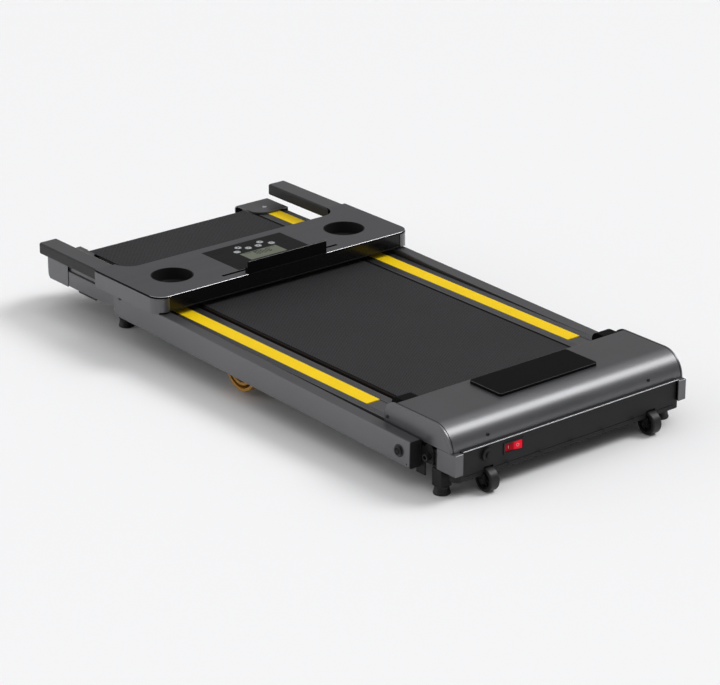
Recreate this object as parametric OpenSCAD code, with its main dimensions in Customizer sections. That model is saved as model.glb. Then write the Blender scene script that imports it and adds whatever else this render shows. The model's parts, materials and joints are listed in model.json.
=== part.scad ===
// Folding walking treadmill, shown folded: the uprights lie along both sides of
// the deck and the console lies level over the belt.
// +Z up, +X to the right, +Y from the motor hood towards the rear.
// Distances along Y are counted from the front face; mid_y moves them to the middle.

/* [Deck] */
// Width over the side rails
deck_w = 550; // [540:1:560]
// Width of the walking belt
belt_w = 392; // [384:1:394]
// Height of the belt's walking surface above the floor
belt_top = 98.3; // [97.5:0.1:98.4]
// Front roller's axle behind the front face
front_roller_y = 124; // [122:1:126]
// Rear roller's axle behind the front face
rear_roller_y = 1208; // [1100:1:1208]
// Radius of both rollers
roller_r = 24; // [23:0.5:24]
// Height of the foot rails' tops
rail_top = 95.6; // [95:0.1:96]

/* [Motor hood] */
// Height of the hood's flat top
hood_top = 134.2; // [132:0.1:138]
// Rear edge of the hood
hood_rear = 160; // [158:1:162]
// Radius of the hood's round front
hood_r = 47; // [44:1:50]

/* [Uprights] */
// Depth of the upright tubes
tube_h = 50; // [46:1:50]
// Width of the upright tubes
tube_w = 25; // [24:1:26]
// Wall of the upright tubes
tube_wall = 1.8; // [1.5:0.1:2]
// Distance from the lower pivot to the console hinge
upright_l = 837.2; // [830:0.1:840]
// Slope of the folded uprights
fold_slope = 1.08; // [0.5:0.01:1.1]

/* [Console] */
// Width over the console's side panels
console_w = 622; // [620:1:626]
// Height of the console's top
console_top_z = 140.3; // [140:0.1:142]
// Front edge of the console
console_front = 813; // [812:1:814]
// Diameter of the cup holders
cup_d = 80; // [70:1:82]
// Length of the handlebars behind the console
handle_l = 201; // [150:1:210]

/* [Wheels and feet] */
// Radius of the transport wheels
wheel_r = 22; // [20:0.5:22]
// Width of the transport wheels
wheel_w = 20; // [16:1:20]
// Radius of the foot pads
pad_r = 15.5; // [14:0.5:16]

/* [Hidden] */

$fn = 48;
eps = 0.01;
run = 0.05;                 // radial clearance of a running fit
far = 2000;

// Overall lengths
base_front = 6;             // front face of the base pan
wheel_y = 8;
rear_end = rear_roller_y + 42;
mid_y = (wheel_y - wheel_r + rear_end) / 2;

// Side planes, all on the +X side
side_x = deck_w / 2;        // outer face of rails, covers and corners
skin = 3;
rail_x0 = side_x - 33;      // frame rail
rail_x1 = side_x - skin;
rail_z0 = 56;
rail_z1 = 82;

// Belt and rollers
belt_t = 1.6;
belt_gap = 0.3;
belt_r = roller_r + belt_gap + belt_t;
roller_z = belt_top - belt_r;
roller_l = belt_w / 2 + 2;
axle_r = 6;
bearing_r = 16;
bearing_w = 12;
deck_t = 15;
deck_z = belt_top - belt_t - 0.4 - deck_t;
cross_z = deck_z - 4;
cross_h = 16;
cross_d = 30;
cross_ys = [215, 500, 740, 1130];
cushion_x = 180;
board_x = 200;              // half the width of the deck board

// Belt drive
motor_y = 62;
motor_z = 84;
motor_r = 36;
motor_x0 = 70;
motor_x1 = 196;
pulley_x0 = 212;
pulley_w = 14;
roller_pulley_r = 27;
motor_pulley_r = 10;
shaft_r = 5;
drive_t = 2;

// Base pan, corners and hood
pan_bottom = 33;
pan_top = 90.4;
corner_in = side_x - 18.5;
corner_len = 48;
corner_z0 = 48.4;
corner_z1 = 88;
hood_front = 9.5;
hood_side = side_x - 3.6;
hood_z0 = 91.2;
cover_rear = 188;
cover_r = 28;
cover_z0 = 88.6;
ear_x0 = 221.5;
ear_x1 = 256;
ear_rear = 192;
wall = 2.5;
front_screw = [191, hood_front + 2.6, 102.7];
screw_lean = 70;            // leans back with the hood's round front
cover_screw = [179, 103];

// Lower pivot and hinge plates
pivot_y = 117.5;
pivot_z = 67;
pivot_r = 6;
stub = 28.1;
tube_x0 = side_x + 1;
tube_x1 = tube_x0 + tube_w;
tab_y0 = 57;
tab_y1 = 80;
anchor_y = 66;

// Console hinge
hinge_y = pivot_y + upright_l * cos(fold_slope);
hinge_z = pivot_z + upright_l * sin(fold_slope);
hinge_r = 5;
tongue_r = 12;
tongue_t = 9.4;
tongue_x = (tube_x0 + tube_x1) / 2;
slot_gap = 0.5;
tail = 19;                  // tube beyond the hinge

// Console
con_x = console_w / 2;
con_r = 28;
con_rear = 989;
arm_rear = 1022;
arm_in = 262;
arm_fillet = 34;
plate_t = 3;
plate_z = console_top_z - plate_t;
con_z0 = 109;
con_floor = 2.5;
side_t = 8.5;
side_z0 = 105.6;
side_top = plate_z - 1;
cup_x = 211.8;
cup_y = 904;
cup_r = cup_d / 2;
liner_t = 1.5;
glass = [-96.5, 96.5, 844, 966];
slot_x = 141;
slot_y0 = 834.5;
slot_y1 = 841.5;
ledge_x = 96;
ledge_z = 165.7;
grip_x0 = 264.7;
grip_x1 = 307;
grip_z0 = 115.1;
grip_z1 = 139.1;
grip_end = arm_rear + handle_l;
core_x0 = 272;
core_x1 = 298;
core_z0 = 120;
core_z1 = 134;

// Foot rails, grip strips and rear caps
rail_in = 207.5;            // inner and outer edges of a foot rail's top
rail_out = 271.4;
rail_step = 86;             // top of the outer skirt
strip_x0 = 225.8;
strip_x1 = 255.8;
strip_front = 260;
rib_pitch = 3;
cap_front = 1170;
cap_in = 197;
cap_r = 12;
cap_edge = 10.5;
cap_sweep = 54;
cap_z0 = 53;
cap_bite = 31;              // round bite at the inner front corner
cap_screw = [237, 1199, 100.5];
tension_x = 229;

// Wheels, feet and front controls
wheel_x = 194;
arch_r = 25;
cheek_t = 2.5;
front_foot = [262, 49];
rear_foot = [231, 1036];
pad_h = 16;
bow_y = 613;
bow_z = 54;
bow_r = 45;
rocker_x = -137;
rocker_z = 68.5;
rocker_w = 40;
rocker_h = 15;
rocker_lean = 6;
rocker_y = base_front + 8;
breaker_x = -199;
breaker_z = 70;

graphite = [0.36, 0.36, 0.37];
dark = [0.16, 0.16, 0.17];
black = [0.05, 0.05, 0.055];
steel = [0.62, 0.63, 0.65];
yellow = [0.96, 0.87, 0.14];
orange = [0.95, 0.62, 0.08];

// ---- helpers ----

// A part in its colour, moved so that the middle of the length is at y = 0
module part(c) color(c) translate([0, -mid_y, 0]) children();

// The same shape on both sides
module both() {
    children();
    mirror([1, 0, 0]) children();
}

// A box from its limits
module box(x0, x1, y0, y1, z0, z1)
    translate([x0, y0, z0]) cube([x1 - x0, y1 - y0, z1 - z0]);

// A shaft or bore along X
module rod(r, x0, x1, y, z)
    translate([x0, y, z]) rotate([0, 90, 0]) cylinder(r = r, h = x1 - x0);

// A side view in Y and Z, extruded along X
module side_view(x0, x1)
    translate([x0, 0, 0]) rotate([90, 0, 90]) linear_extrude(x1 - x0) children();

// A plan view in X and Y, extruded along Z
module plan_view(z0, z1)
    translate([0, 0, z0]) linear_extrude(z1 - z0) children();

// A flat rectangle from its limits
module rect(x0, x1, y0, y1)
    translate([x0, y0]) square([x1 - x0, y1 - y0]);

// A flat rectangle with round corners, from its limits
module round_rect(x0, x1, y0, y1, r) {
    rect(x0 + r, x1 - r, y0, y1);
    rect(x0, x1, y0 + r, y1 - r);
    for (x = [x0 + r, x1 - r], y = [y0 + r, y1 - r]) translate([x, y]) circle(r);
}

// A rounded rectangular tube along Y, given in X and Z
module tube_along_y(x0, x1, z0, z1, y0, y1, r, wall) {
    translate([0, y1, 0]) rotate([90, 0, 0]) linear_extrude(y1 - y0) difference() {
        round_rect(x0, x1, z0, z1, r);
        if (wall > 0) round_rect(x0 + wall, x1 - wall, z0 + wall, z1 - wall, max(r - wall, 0.3));
    }
}

// The quarter-round front and flat top of the hood, in side view
module hood_outline(inset, z0, y1) {
    r = hood_r - inset;
    cy = hood_front + hood_r;
    cz = hood_top - hood_r;
    intersection() {
        union() {
            translate([cy, cz]) circle(r);
            rect(cy, y1, cz - r, cz + r);
            rect(cy - r, y1, cz - r, cz);
        }
        rect(0, y1, z0, far);
    }
}

// The band around two round rollers, in side view. The straight runs lie a
// twentieth of a millimetre inside the tangents, so that they cut the circles cleanly.
module loop_outline(y0, z0, r0, y1, z1, r1) {
    d = norm([y1 - y0, z1 - z0]);
    turn = atan2(z1 - z0, y1 - y0);
    lean = acos((r0 - r1) / d);
    e = 0.05;
    translate([y0, z0]) circle(r0);
    translate([y1, z1]) circle(r1);
    polygon([
        for (a = [turn + lean, turn - lean]) [y0 + (r0 - e) * cos(a), z0 + (r0 - e) * sin(a)],
        for (a = [turn - lean, turn + lean]) [y1 + (r1 - e) * cos(a), z1 + (r1 - e) * sin(a)]
    ]);
}

// A pan-head screw along Z: shank down, head up
module pan_screw(head_r, head_h, shank_r, shank_l) {
    difference() {
        union() {
            translate([0, 0, -shank_l]) cylinder(r = shank_r, h = shank_l + eps);
            cylinder(r = head_r, h = head_h * 0.6);
            cylinder(r = head_r * 0.8, h = head_h);
        }
        translate([0, 0, head_h * 0.5]) cylinder(r = head_r * 0.4, h = head_h, $fn = 6);
    }
}

// Moves a shape drawn in the upright's own frame: Y along the tube from the pivot
module on_upright()
    translate([0, pivot_y, pivot_z]) rotate([fold_slope, 0, 0]) children();

// Console outline, moved in by a margin: round front corners, and rear arms
// joined to the middle by round fillets
module console_plan(e, front_e, rear_e) {
    half = con_x - e;
    front = console_front + front_e;
    rear = con_rear - e;
    arm = arm_rear - rear_e;
    r = con_r - e;
    rect(-half + r, half - r, front, front + r + eps);
    rect(-half, half, front + r, rear);
    both() {
        translate([half - r, front + r]) circle(r);
        rect(arm_in + e, half, rear - eps, arm);
        difference() {
            rect(arm_in - arm_fillet, arm_in + e + eps, rear - eps, min(con_rear + arm_fillet, arm));
            translate([arm_in - arm_fillet, con_rear + arm_fillet]) circle(arm_fillet + e);
        }
    }
}

// The console's inner body outline, behind the front fascia
module console_inner(e) {
    console_plan(side_t + 0.7 + e, side_t + 0.8 + e, 0.6 + e);
    rect(-con_x + con_r + 0.5 + e, con_x - con_r - 0.5 - e, console_front + 1.2 + e, console_front + 40);
}

// ---- base and hood ----

// Opening over one transport wheel
module wheel_arch(grow)
    rod(arch_r + grow, wheel_x - wheel_w / 2 - 1 - grow, wheel_x + wheel_w / 2 + 1 + grow, wheel_y, wheel_r);

// Arch shell and axle cheeks over one wheel
module wheel_housing() {
    x0 = wheel_x - wheel_w / 2 - 1 - cheek_t;
    x1 = wheel_x + wheel_w / 2 + 1 + cheek_t;
    difference() {
        union() {
            intersection() {
                wheel_arch(cheek_t);
                box(x0, x1, base_front, far, pan_bottom, far);
            }
            side_view(x0, x1) {
                translate([wheel_y, wheel_r]) circle(7);
                rect(wheel_y - 7, wheel_y + 7, wheel_r, pan_bottom + 2);
            }
        }
        wheel_arch(0);
        rod(4, x0 - 1, x1 + 1, wheel_y, wheel_r);
    }
}

// Motor saddle: two ribs with a round seat
module motor_saddle()
    for (x = [84, 170])
        side_view(x, x + 6) difference() {
            rect(motor_y - 24, motor_y + 24, pan_bottom + 2, motor_z - 24);
            translate([motor_y, motor_z]) circle(motor_r);
        }

module base_pan() part(dark) {
    pan_x = 246;
    difference() {
        union() {
            plan_view(pan_bottom, pan_bottom + skin) {
                round_rect(-corner_in - 11, corner_in + 11, base_front, 32, 12);
                rect(-pan_x, pan_x, base_front + 12, 165);
            }
            plan_view(pan_bottom, corner_z0 - 0.2) difference() {
                round_rect(-corner_in - 11, corner_in + 11, base_front, 32, 12);
                round_rect(-corner_in - 8, corner_in + 8, base_front + skin, 60, 9);
            }
            both() box(pan_x - skin, pan_x, 32, 165, pan_bottom, rail_z0);
            box(-corner_in + 0.4, corner_in - 0.4, base_front, base_front + skin, pan_bottom, pan_top);
            box(-corner_in + 0.4, corner_in - 0.4, base_front + 1, base_front + 6, pan_top - 2.5, pan_top);
            motor_saddle();
        }
        both() wheel_arch(cheek_t);
        box(-corner_in + 8, corner_in - 8, base_front - 1, base_front + 0.8, 41, 42.4);
        rocker_box(2.2, 0, 20);
        translate([breaker_x, 0, breaker_z]) rotate([-90, 0, 0]) cylinder(r = 9, h = 20);
    }
    both() wheel_housing();
}

module front_corners() part(graphite) both() difference() {
    tube_along_y(corner_in, side_x, corner_z0, corner_z1, 0, corner_len, 1.5, 0);
    box(corner_in - 1, rail_x1 + 0.3, skin, corner_len + 1, corner_z0 + 2, corner_z1 - 2);
}

// One rear ear of the hood, over the end of a foot rail
module hood_ear() difference() {
    side_view(ear_x0, ear_x1) {
        r = 14;
        rect(hood_rear - 1, ear_rear - r, 97.2, hood_top);
        rect(hood_rear - 1, ear_rear, 97.2, hood_top - r);
        translate([ear_rear - r, hood_top - r]) circle(r);
    }
    box(ear_x0 + wall, ear_x1 - wall, hood_rear - 2, ear_rear - wall - 3, 97, hood_top - wall - 3);
}

module hood() part(graphite) difference() {
    union() {
        side_view(-hood_side, hood_side) difference() {
            hood_outline(0, hood_z0, hood_rear);
            hood_outline(wall, hood_z0 - 1, hood_rear - wall);
        }
        both() hood_ear();
    }
    box(-rail_in + 2, rail_in - 2, hood_rear - 5, hood_rear + 1, 90, belt_top + 1.5);
    both() translate(front_screw) rotate([screw_lean, 0, 0]) cylinder(r = 2.1, h = 20, center = true);
}

module hood_covers() part(graphite) both() difference() {
    union() {
        side_view(side_x - skin, side_x) {
            hood_outline(0, cover_z0, cover_rear - cover_r);
            rect(cover_rear - cover_r - 1, cover_rear, cover_z0, hood_top - cover_r);
            intersection() {
                translate([cover_rear - cover_r, hood_top - cover_r]) circle(cover_r);
                rect(cover_rear - cover_r, far, cover_z0, far);
            }
        }
        box(rail_x1 - 10, side_x - 1, 90, 140, cover_z0, cover_z0 + 2);
    }
    rod(2, side_x - 5, side_x + 1, cover_screw[0], cover_screw[1]);
}

module rail_end_blocks() part(dark) both() side_view(ear_x1 + 1, side_x - skin - 0.6) {
    z0 = rail_top + 0.3;
    r = 12;
    rect(hood_rear + 0.4, cover_rear - r, z0, z0 + r + 10);
    intersection() {
        translate([cover_rear - r, z0 + 10]) circle(r);
        rect(cover_rear - r - eps, cover_rear, z0, far);
    }
}

module hood_panel() part(black) difference() {
    plan_view(hood_top, hood_top + 6) round_rect(-115.5, 115.5, 65.4, 148.5, 2);
    plan_view(hood_top + 5.2, hood_top + 7) round_rect(-113, 113, 67.9, 146, 1.2);
}

module cover_screws() part(steel) both() {
    translate(front_screw) rotate([screw_lean, 0, 0]) pan_screw(3.2, 1.6, 2, 6);
    translate([side_x, cover_screw[0], cover_screw[1]]) rotate([0, 90, 0]) pan_screw(3.2, 0.7, 2, 3);
    translate(cap_screw) pan_screw(5, 2, 2.5, 8);
}

// A box around the rocker, larger than it by a margin
module rocker_box(e, y0, y1)
    box(rocker_x - rocker_w / 2 - e, rocker_x + rocker_w / 2 + e, y0, y1,
        rocker_z - rocker_h / 2 - e, rocker_z + rocker_h / 2 + e);

module rocker_bezel() part(black) difference() {
    union() {
        rocker_box(3.6, base_front - 1.4, base_front);
        rocker_box(2.1, base_front - eps, 34);
    }
    rocker_box(0.4, base_front - 2, 24);
    translate([rocker_x, rocker_y, rocker_z]) cylinder(r = 1.5 + run, h = rocker_h + 3, center = true);
}

// Rocker: a shallow vee about a vertical pin, resting with its left end pressed in
module rocker() part([0.88, 0.08, 0.18])
    translate([rocker_x, rocker_y, rocker_z]) rotate([0, 0, -rocker_lean]) {
        half = rocker_w / 2 - 0.8;
        translate([0, 0, -rocker_h / 2]) linear_extrude(rocker_h)
            polygon([[-half, -8.4], [0, -7.2], [half, -8.4], [half - 2, 0], [4, 6], [-4, 6], [-half + 2, 0]]);
        cylinder(r = 1.5, h = rocker_h + 2.6, center = true);
    }

module breaker_body() part(black) difference() {
    translate([breaker_x, 0, breaker_z]) rotate([-90, 0, 0]) {
        translate([0, 0, base_front - 5.5]) cylinder(r = 12.4, h = 5.5);
        translate([0, 0, base_front - eps]) cylinder(r = 8.9, h = 28);
    }
    translate([breaker_x, -1, breaker_z]) rotate([-90, 0, 0]) cylinder(r = 5.3, h = 20);
}

module breaker_button() part(dark)
    translate([breaker_x, base_front - 8, breaker_z]) rotate([-90, 0, 0]) cylinder(r = 5, h = 14);

// ---- frame, feet and wheels ----

module frame_rails() part(dark) both() difference() {
    tube_along_y(rail_x0, rail_x1, rail_z0, rail_z1, base_front + skin, rear_end - 18, 2, 2);
    for (y = [front_roller_y, rear_roller_y]) rod(axle_r, rail_x0 - 1, rail_x0 + 4, y, roller_z);
    rod(pivot_r, rail_x1 - 4, rail_x1 + 1, pivot_y, pivot_z);
    rod(4, rail_x1 - 4, rail_x1 + 1, anchor_y, pivot_z);
}

module cross_members() part(dark) for (y = cross_ys)
    side_view(-rail_x0, rail_x0) difference() {
        round_rect(y, y + cross_d, cross_z - cross_h, cross_z, 2);
        round_rect(y + 2, y + cross_d - 2, cross_z - cross_h + 2, cross_z - 2, 0.5);
    }

module hinge_plates() part(graphite) both() difference() {
    side_view(rail_x1, side_x) difference() {
        union() {
            half = (tab_y1 - tab_y0) / 2;
            translate([tab_y0 + half, 88 - half]) circle(half);
            rect(tab_y0, tab_y1, 52, 88 - half);
            rect(tab_y0 + 4, pivot_y, rail_z0 - 2, pivot_z + 14);
            translate([pivot_y, pivot_z]) circle(14);
            rect(79, 102, 26, 60);
        }
        rect(73, 77, 40, 52);
    }
    rod(pivot_r, rail_x1 - 1, side_x + 1, pivot_y, pivot_z);
    rod(4, rail_x1 - 1, side_x + 1, anchor_y, pivot_z);
}

module anchor_bolts() part(steel) both() difference() {
    union() {
        rod(4, rail_x1 - 2, side_x + 1, anchor_y, pivot_z);
        rod(6.5, side_x, side_x + 12, anchor_y, pivot_z);
        rod(9, side_x, side_x + 1.5, anchor_y, pivot_z);
    }
    translate([side_x + 6, anchor_y, pivot_z]) rotate([0, 90, 0]) cylinder(r = 3.4, h = 10, $fn = 6);
}

module pivot_bolts() part(black) both() {
    rod(pivot_r, rail_x1 - 6, tube_x1 + 1, pivot_y, pivot_z);
    rod(9.5, tube_x1 + 0.4, tube_x1 + 3.4, pivot_y, pivot_z);
    rod(6.5, tube_x1 + 3.4 - eps, tube_x1 + 4.6, pivot_y, pivot_z);
}

module foot_blocks() part(dark) both() {
    box(front_foot[0] - 12.5, front_foot[0] + 12.5, front_foot[1] - 12, front_foot[1] + 12, pad_h - 1, corner_z0);
    box(front_foot[0] - 12.5, rail_x1, corner_len + 2, front_foot[1] + 12, corner_z0 - 1, rail_z0);
    box(rear_foot[0] - 11, rear_foot[0] + 11, rear_foot[1] - 11, rear_foot[1] + 11, pad_h - 1, rail_z0);
    box(rear_foot[0] - 11, rail_x1, rear_foot[1] - 16, rear_foot[1] + 16, rail_z0 - 3, rail_z0);
    box(rail_x0 + 2, rail_x1, 1080, 1140, rail_z0 - 7, rail_z0);
}

module foot_pads() part(black) both() for (p = [front_foot, rear_foot])
    translate(p) rotate_extrude() polygon([
        [0, 0], [pad_r - 1, 0], [pad_r, 1.5], [pad_r, 4], [pad_r - 2.5, pad_h - 3],
        [pad_r - 2.5, pad_h - 1], [0, pad_h - 1]
    ]);

// Half-round bumper under each rail, halfway along: two arcs one inside the other
module bow_cushions() part(orange) both() side_view(side_x - 29, side_x - 5) difference() {
    translate([bow_y, bow_z]) circle(bow_r);
    intersection() {
        translate([bow_y, bow_z]) union() {
            circle(bow_r - 18);
            difference() {
                circle(bow_r - 6.5);
                circle(bow_r - 11.5);
            }
        }
        rect(0, far, 0, rail_z0 - 6);
    }
    rect(0, far, rail_z0, far);
}

module wheel_axles() part(steel) both()
    rod(4, wheel_x - wheel_w / 2 - 4.5, wheel_x + wheel_w / 2 + 4.5, wheel_y, wheel_r);

// One transport wheel, turned about X: hub or tyre
module wheel_hub() translate([wheel_x, wheel_y, wheel_r]) rotate([0, 90, 0]) difference() {
    cylinder(r = wheel_r - 6, h = wheel_w - 3, center = true);
    cylinder(r = 4 + run, h = wheel_w + 2, center = true);
    for (s = [-1, 1]) translate([0, 0, s * wheel_w / 2]) difference() {
        cylinder(r = wheel_r - 8.5, h = 8, center = true);
        cylinder(r = 7, h = 9, center = true);
    }
}

module wheel_tyre() translate([wheel_x, wheel_y, wheel_r]) rotate([0, 90, 0]) rotate_extrude() {
    h = wheel_w / 2;
    polygon([[wheel_r - 6, -h], [wheel_r - 2, -h], [wheel_r, -h + 2], [wheel_r, h - 2], [wheel_r - 2, h], [wheel_r - 6, h]]);
}

module wheel_hub_right() part(graphite) wheel_hub();
module wheel_hub_left() part(graphite) mirror([1, 0, 0]) wheel_hub();
module wheel_tyre_right() part(black) wheel_tyre();
module wheel_tyre_left() part(black) mirror([1, 0, 0]) wheel_tyre();

// ---- deck, belt and drive ----

module deck_board() part([0.28, 0.22, 0.18])
    box(-board_x, board_x, hood_rear + 2, rear_roller_y - 34, deck_z, deck_z + deck_t);

module deck_cushions() part(yellow) both() for (y = cross_ys)
    translate([cushion_x, y + cross_d / 2, cross_z]) cylinder(r = 11, h = deck_z - cross_z);

module walking_belt() part([0.15, 0.15, 0.155]) side_view(-belt_w / 2, belt_w / 2) difference() {
    loop_outline(front_roller_y, roller_z, belt_r, rear_roller_y, roller_z, belt_r);
    loop_outline(front_roller_y, roller_z, belt_r - belt_t, rear_roller_y, roller_z, belt_r - belt_t);
}

// A roller tube with a seat for a bearing at each end
module roller(y) difference() {
    rod(roller_r, -roller_l, roller_l, y, roller_z);
    rod(bearing_r + run, -roller_l - 1, roller_l + 1, y, roller_z);
}

module front_roller() part(steel) roller(front_roller_y);
module rear_roller() part(steel) roller(rear_roller_y);

module roller_pulley() part(steel) difference() {
    union() {
        rod(roller_pulley_r, pulley_x0, pulley_x0 + pulley_w, front_roller_y, roller_z);
        for (x = [pulley_x0 - 1, pulley_x0 + pulley_w])
            rod(roller_pulley_r + 1.5, x, x + 1, front_roller_y, roller_z);
        rod(roller_r, roller_l, pulley_x0, front_roller_y, roller_z);
    }
    rod(axle_r + run, roller_l - 1, pulley_x0 + pulley_w + 2, front_roller_y, roller_z);
}

module roller_bearings() part(steel) both() for (y = [front_roller_y, rear_roller_y]) difference() {
    rod(bearing_r, roller_l - bearing_w, roller_l - 0.3, y, roller_z);
    rod(axle_r, roller_l - bearing_w - 1, roller_l + 1, y, roller_z);
}

module roller_axles() part(steel) for (y = [front_roller_y, rear_roller_y])
    rod(axle_r, -rail_x0 - 4, rail_x0 + 4, y, roller_z);

// Bolts that pull the rear axle back and tighten the belt
module tension_bolts() part(steel) both() difference() {
    translate([tension_x, rear_roller_y + axle_r, roller_z]) rotate([-90, 0, 0]) {
        cylinder(r = 3, h = rear_end - rear_roller_y - axle_r - 6);
        translate([0, 0, rear_end - rear_roller_y - axle_r - 6]) cylinder(r = 5.5, h = 5);
    }
    translate([tension_x, rear_end - 4, roller_z]) rotate([-90, 0, 0]) cylinder(r = 2.6, h = 6, $fn = 6);
}

module motor_case() part(dark) difference() {
    rod(motor_r, motor_x0, motor_x1, motor_y, motor_z);
    rod(motor_r - 4, motor_x0 + 5, motor_x1 - 5, motor_y, motor_z);
    rod(shaft_r + run, motor_x0 - 1, motor_x1 + 1, motor_y, motor_z);
}

module motor_rotor() part(steel) {
    rod(shaft_r, motor_x0 - 8, pulley_x0 + pulley_w + 2, motor_y, motor_z);
    rod(motor_r - 8, motor_x0 + 18, motor_x1 - 18, motor_y, motor_z);
}

module motor_pulley() part(steel) difference() {
    union() {
        rod(motor_pulley_r, pulley_x0, pulley_x0 + pulley_w, motor_y, motor_z);
        for (x = [pulley_x0 - 1, pulley_x0 + pulley_w])
            rod(motor_pulley_r + 1.5, x, x + 1, motor_y, motor_z);
    }
    rod(shaft_r, pulley_x0 - 2, pulley_x0 + pulley_w + 2, motor_y, motor_z);
}

module drive_belt() part(black) side_view(pulley_x0 + 0.6, pulley_x0 + pulley_w - 0.6) difference() {
    loop_outline(front_roller_y, roller_z, roller_pulley_r + belt_gap + drive_t,
                 motor_y, motor_z, motor_pulley_r + belt_gap + drive_t);
    loop_outline(front_roller_y, roller_z, roller_pulley_r + belt_gap,
                 motor_y, motor_z, motor_pulley_r + belt_gap);
}

module controller() part([0.10, 0.32, 0.20]) {
    box(-110, 50, 30, 92, pan_bottom + skin, 44);
    box(-104, -40, 36, 86, 44 - eps, 76);
    for (x = [-24, 0, 24]) translate([x, 60, 44 - eps]) cylinder(r = 9, h = 24);
}

// ---- foot rails and rear caps ----

// Cross-section of a foot rail in X and Z: ribbed top, channel for the strip, and
// a lower outer skirt that leaves a gap beside the upright
module rail_section() difference() {
    union() {
        rect(rail_in, rail_out, rail_top - 4, rail_top);
        rect(rail_in, rail_in + 2.6, rail_z1 + 2, rail_top);
        rect(rail_out - 2.5, rail_out, rail_step - 2.5, rail_top);
        rect(rail_out - 2.5, side_x, rail_step - 2.5, rail_step);
        rect(side_x - 2.5, side_x, 55, rail_step);
        for (x = [rail_x0 + 1, rail_x1 - 4]) rect(x, x + 2.5, rail_z1, rail_top - 2);
    }
    rect(strip_x0 - 0.3, strip_x1 + 0.3, rail_top - 1, far);
    for (x = [rail_in + 4 : rib_pitch : strip_x0 - 4]) rect(x, x + 1.2, rail_top - 0.8, far);
    for (x = [strip_x1 + 3.4 : rib_pitch : rail_out - 5]) rect(x, x + 1.2, rail_top - 0.8, far);
}

module foot_rails() part(graphite) both() difference() {
    translate([0, rear_end - 12, 0]) rotate([90, 0, 0]) linear_extrude(rear_end - 12 - hood_rear - 0.4) rail_section();
    box(side_x - skin - 0.4, side_x + 1, 0, cover_rear + 0.4, cover_z0 - 0.4, far);
    translate([cap_screw[0], cap_screw[1], 80]) cylinder(r = 2.5, h = 20);
}

module grip_strips() part(yellow) both()
    plan_view(rail_top - 1, rail_top + 0.6) rect(strip_x0, strip_x1, strip_front, cap_front + 12);

// Plan of a rear cap, moved in by a margin: round outer corner, and a round bite
// at its inner front corner
module cap_plan(e) difference() {
    union() {
        rect(cap_in, side_x + 1 - e, cap_front - e, rear_end - cap_r);
        rect(cap_in, side_x + 1 - cap_r, cap_front - e, rear_end + 1);
        translate([side_x + 1 - cap_r, rear_end - cap_r]) circle(cap_r - e);
    }
    difference() {
        rect(cap_in - 1, cap_in + 30 + e, cap_front - 2, cap_front + cap_bite + e);
        translate([cap_in + 30 + e, cap_front + cap_bite + e]) circle(30);
    }
}

// Side view of a rear cap: flat top, tight top edge and a long curve below it
module cap_side(e) {
    rect(cap_front - 1, rear_end - cap_edge, 90 - eps, 90 + cap_edge - e);
    translate([rear_end - cap_edge, 90]) circle(cap_edge - e);
    intersection() {
        translate([rear_end - cap_sweep, 90]) circle(cap_sweep - e);
        rect(cap_front - 1, far, cap_z0 + e, 90);
    }
}

module rear_caps() part(graphite) both() difference() {
    intersection() {
        side_view(cap_in - 7, side_x + 1) cap_side(0);
        plan_view(cap_z0, 110) cap_plan(0);
    }
    intersection() {
        side_view(belt_w / 2 - 6, side_x + 1) cap_side(wall);
        plan_view(cap_z0, 110) cap_plan(1.2);
    }
    side_view(cap_in - 7, belt_w / 2 + 3) {
        loop_outline(1000, roller_z, belt_r + 2.6, rear_roller_y, roller_z, belt_r + 2.6);
        rect(1000, rear_roller_y + 12, 0, roller_z);
    }
    side_view(side_x - 4, side_x + 0.3) rect(1000, rear_end - 12, cap_z0, rail_top + 0.3);
    box(cap_in - 7, side_x - 3, cap_front - 3, cap_front + 34, 0, rail_top + 0.8);
    translate([cap_screw[0], cap_screw[1], 90]) cylinder(r = 2.5, h = 20);
    translate([tension_x, rear_end - 10, roller_z]) rotate([-90, 0, 0]) cylinder(r = 5.7, h = 20);
}

// ---- uprights ----

// Tube end rounded about the console hinge, in side view of the upright's frame
module tube_side(inset) {
    h = tube_h / 2 - inset;
    rect(-stub, upright_l, -h, h);
    rect(upright_l - eps, upright_l + tail, -h, 0);
    intersection() {
        translate([upright_l, 0]) circle(h);
        rect(upright_l - eps, upright_l + tail, -h, h);
    }
}

// Space that the console's tongue swings through
module tongue_slot()
    box(tongue_x - tongue_t / 2 - slot_gap, tongue_x + tongue_t / 2 + slot_gap,
        upright_l - tongue_r - 1, upright_l + tail + 1, -tongue_r - 1, tube_h);

module uprights() part(graphite) both() on_upright() difference() {
    intersection() {
        tube_along_y(tube_x0, tube_x1, -tube_h / 2, tube_h / 2, -stub, upright_l + tail, 3, tube_wall);
        side_view(tube_x0 - 1, tube_x1 + 1) tube_side(0);
    }
    rod(8, tube_x0 - 1, tube_x1 + 1, 0, 0);
    rod(hinge_r, tube_x0 - 1, tube_x0 + 3, upright_l, 0);
    rod(2, tube_x1 - 3, tube_x1 + 1, upright_l - 0.5, 16.5);
    rod(1.6, tube_x1 - 3, tube_x1 + 1, -stub + 7, -19);
    tongue_slot();
}

module upright_bushes() part(black) both() on_upright() difference() {
    union() {
        rod(8, tube_x0 - 0.4, tube_x1, 0, 0);
        rod(11, tube_x0 - 0.8, tube_x0, 0, 0);
    }
    rod(pivot_r + run, tube_x0 - 2, tube_x1 + 1, 0, 0);
}

module upright_plugs() part(black) both() on_upright() {
    w = tube_wall;
    tube_along_y(tube_x0, tube_x1, -tube_h / 2, tube_h / 2, -stub - 2, -stub, 3, 0);
    tube_along_y(tube_x0 + w, tube_x1 - w, -tube_h / 2 + w, tube_h / 2 - w, -stub - eps, -stub + 10, 1.2, 1.6);
}

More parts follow.
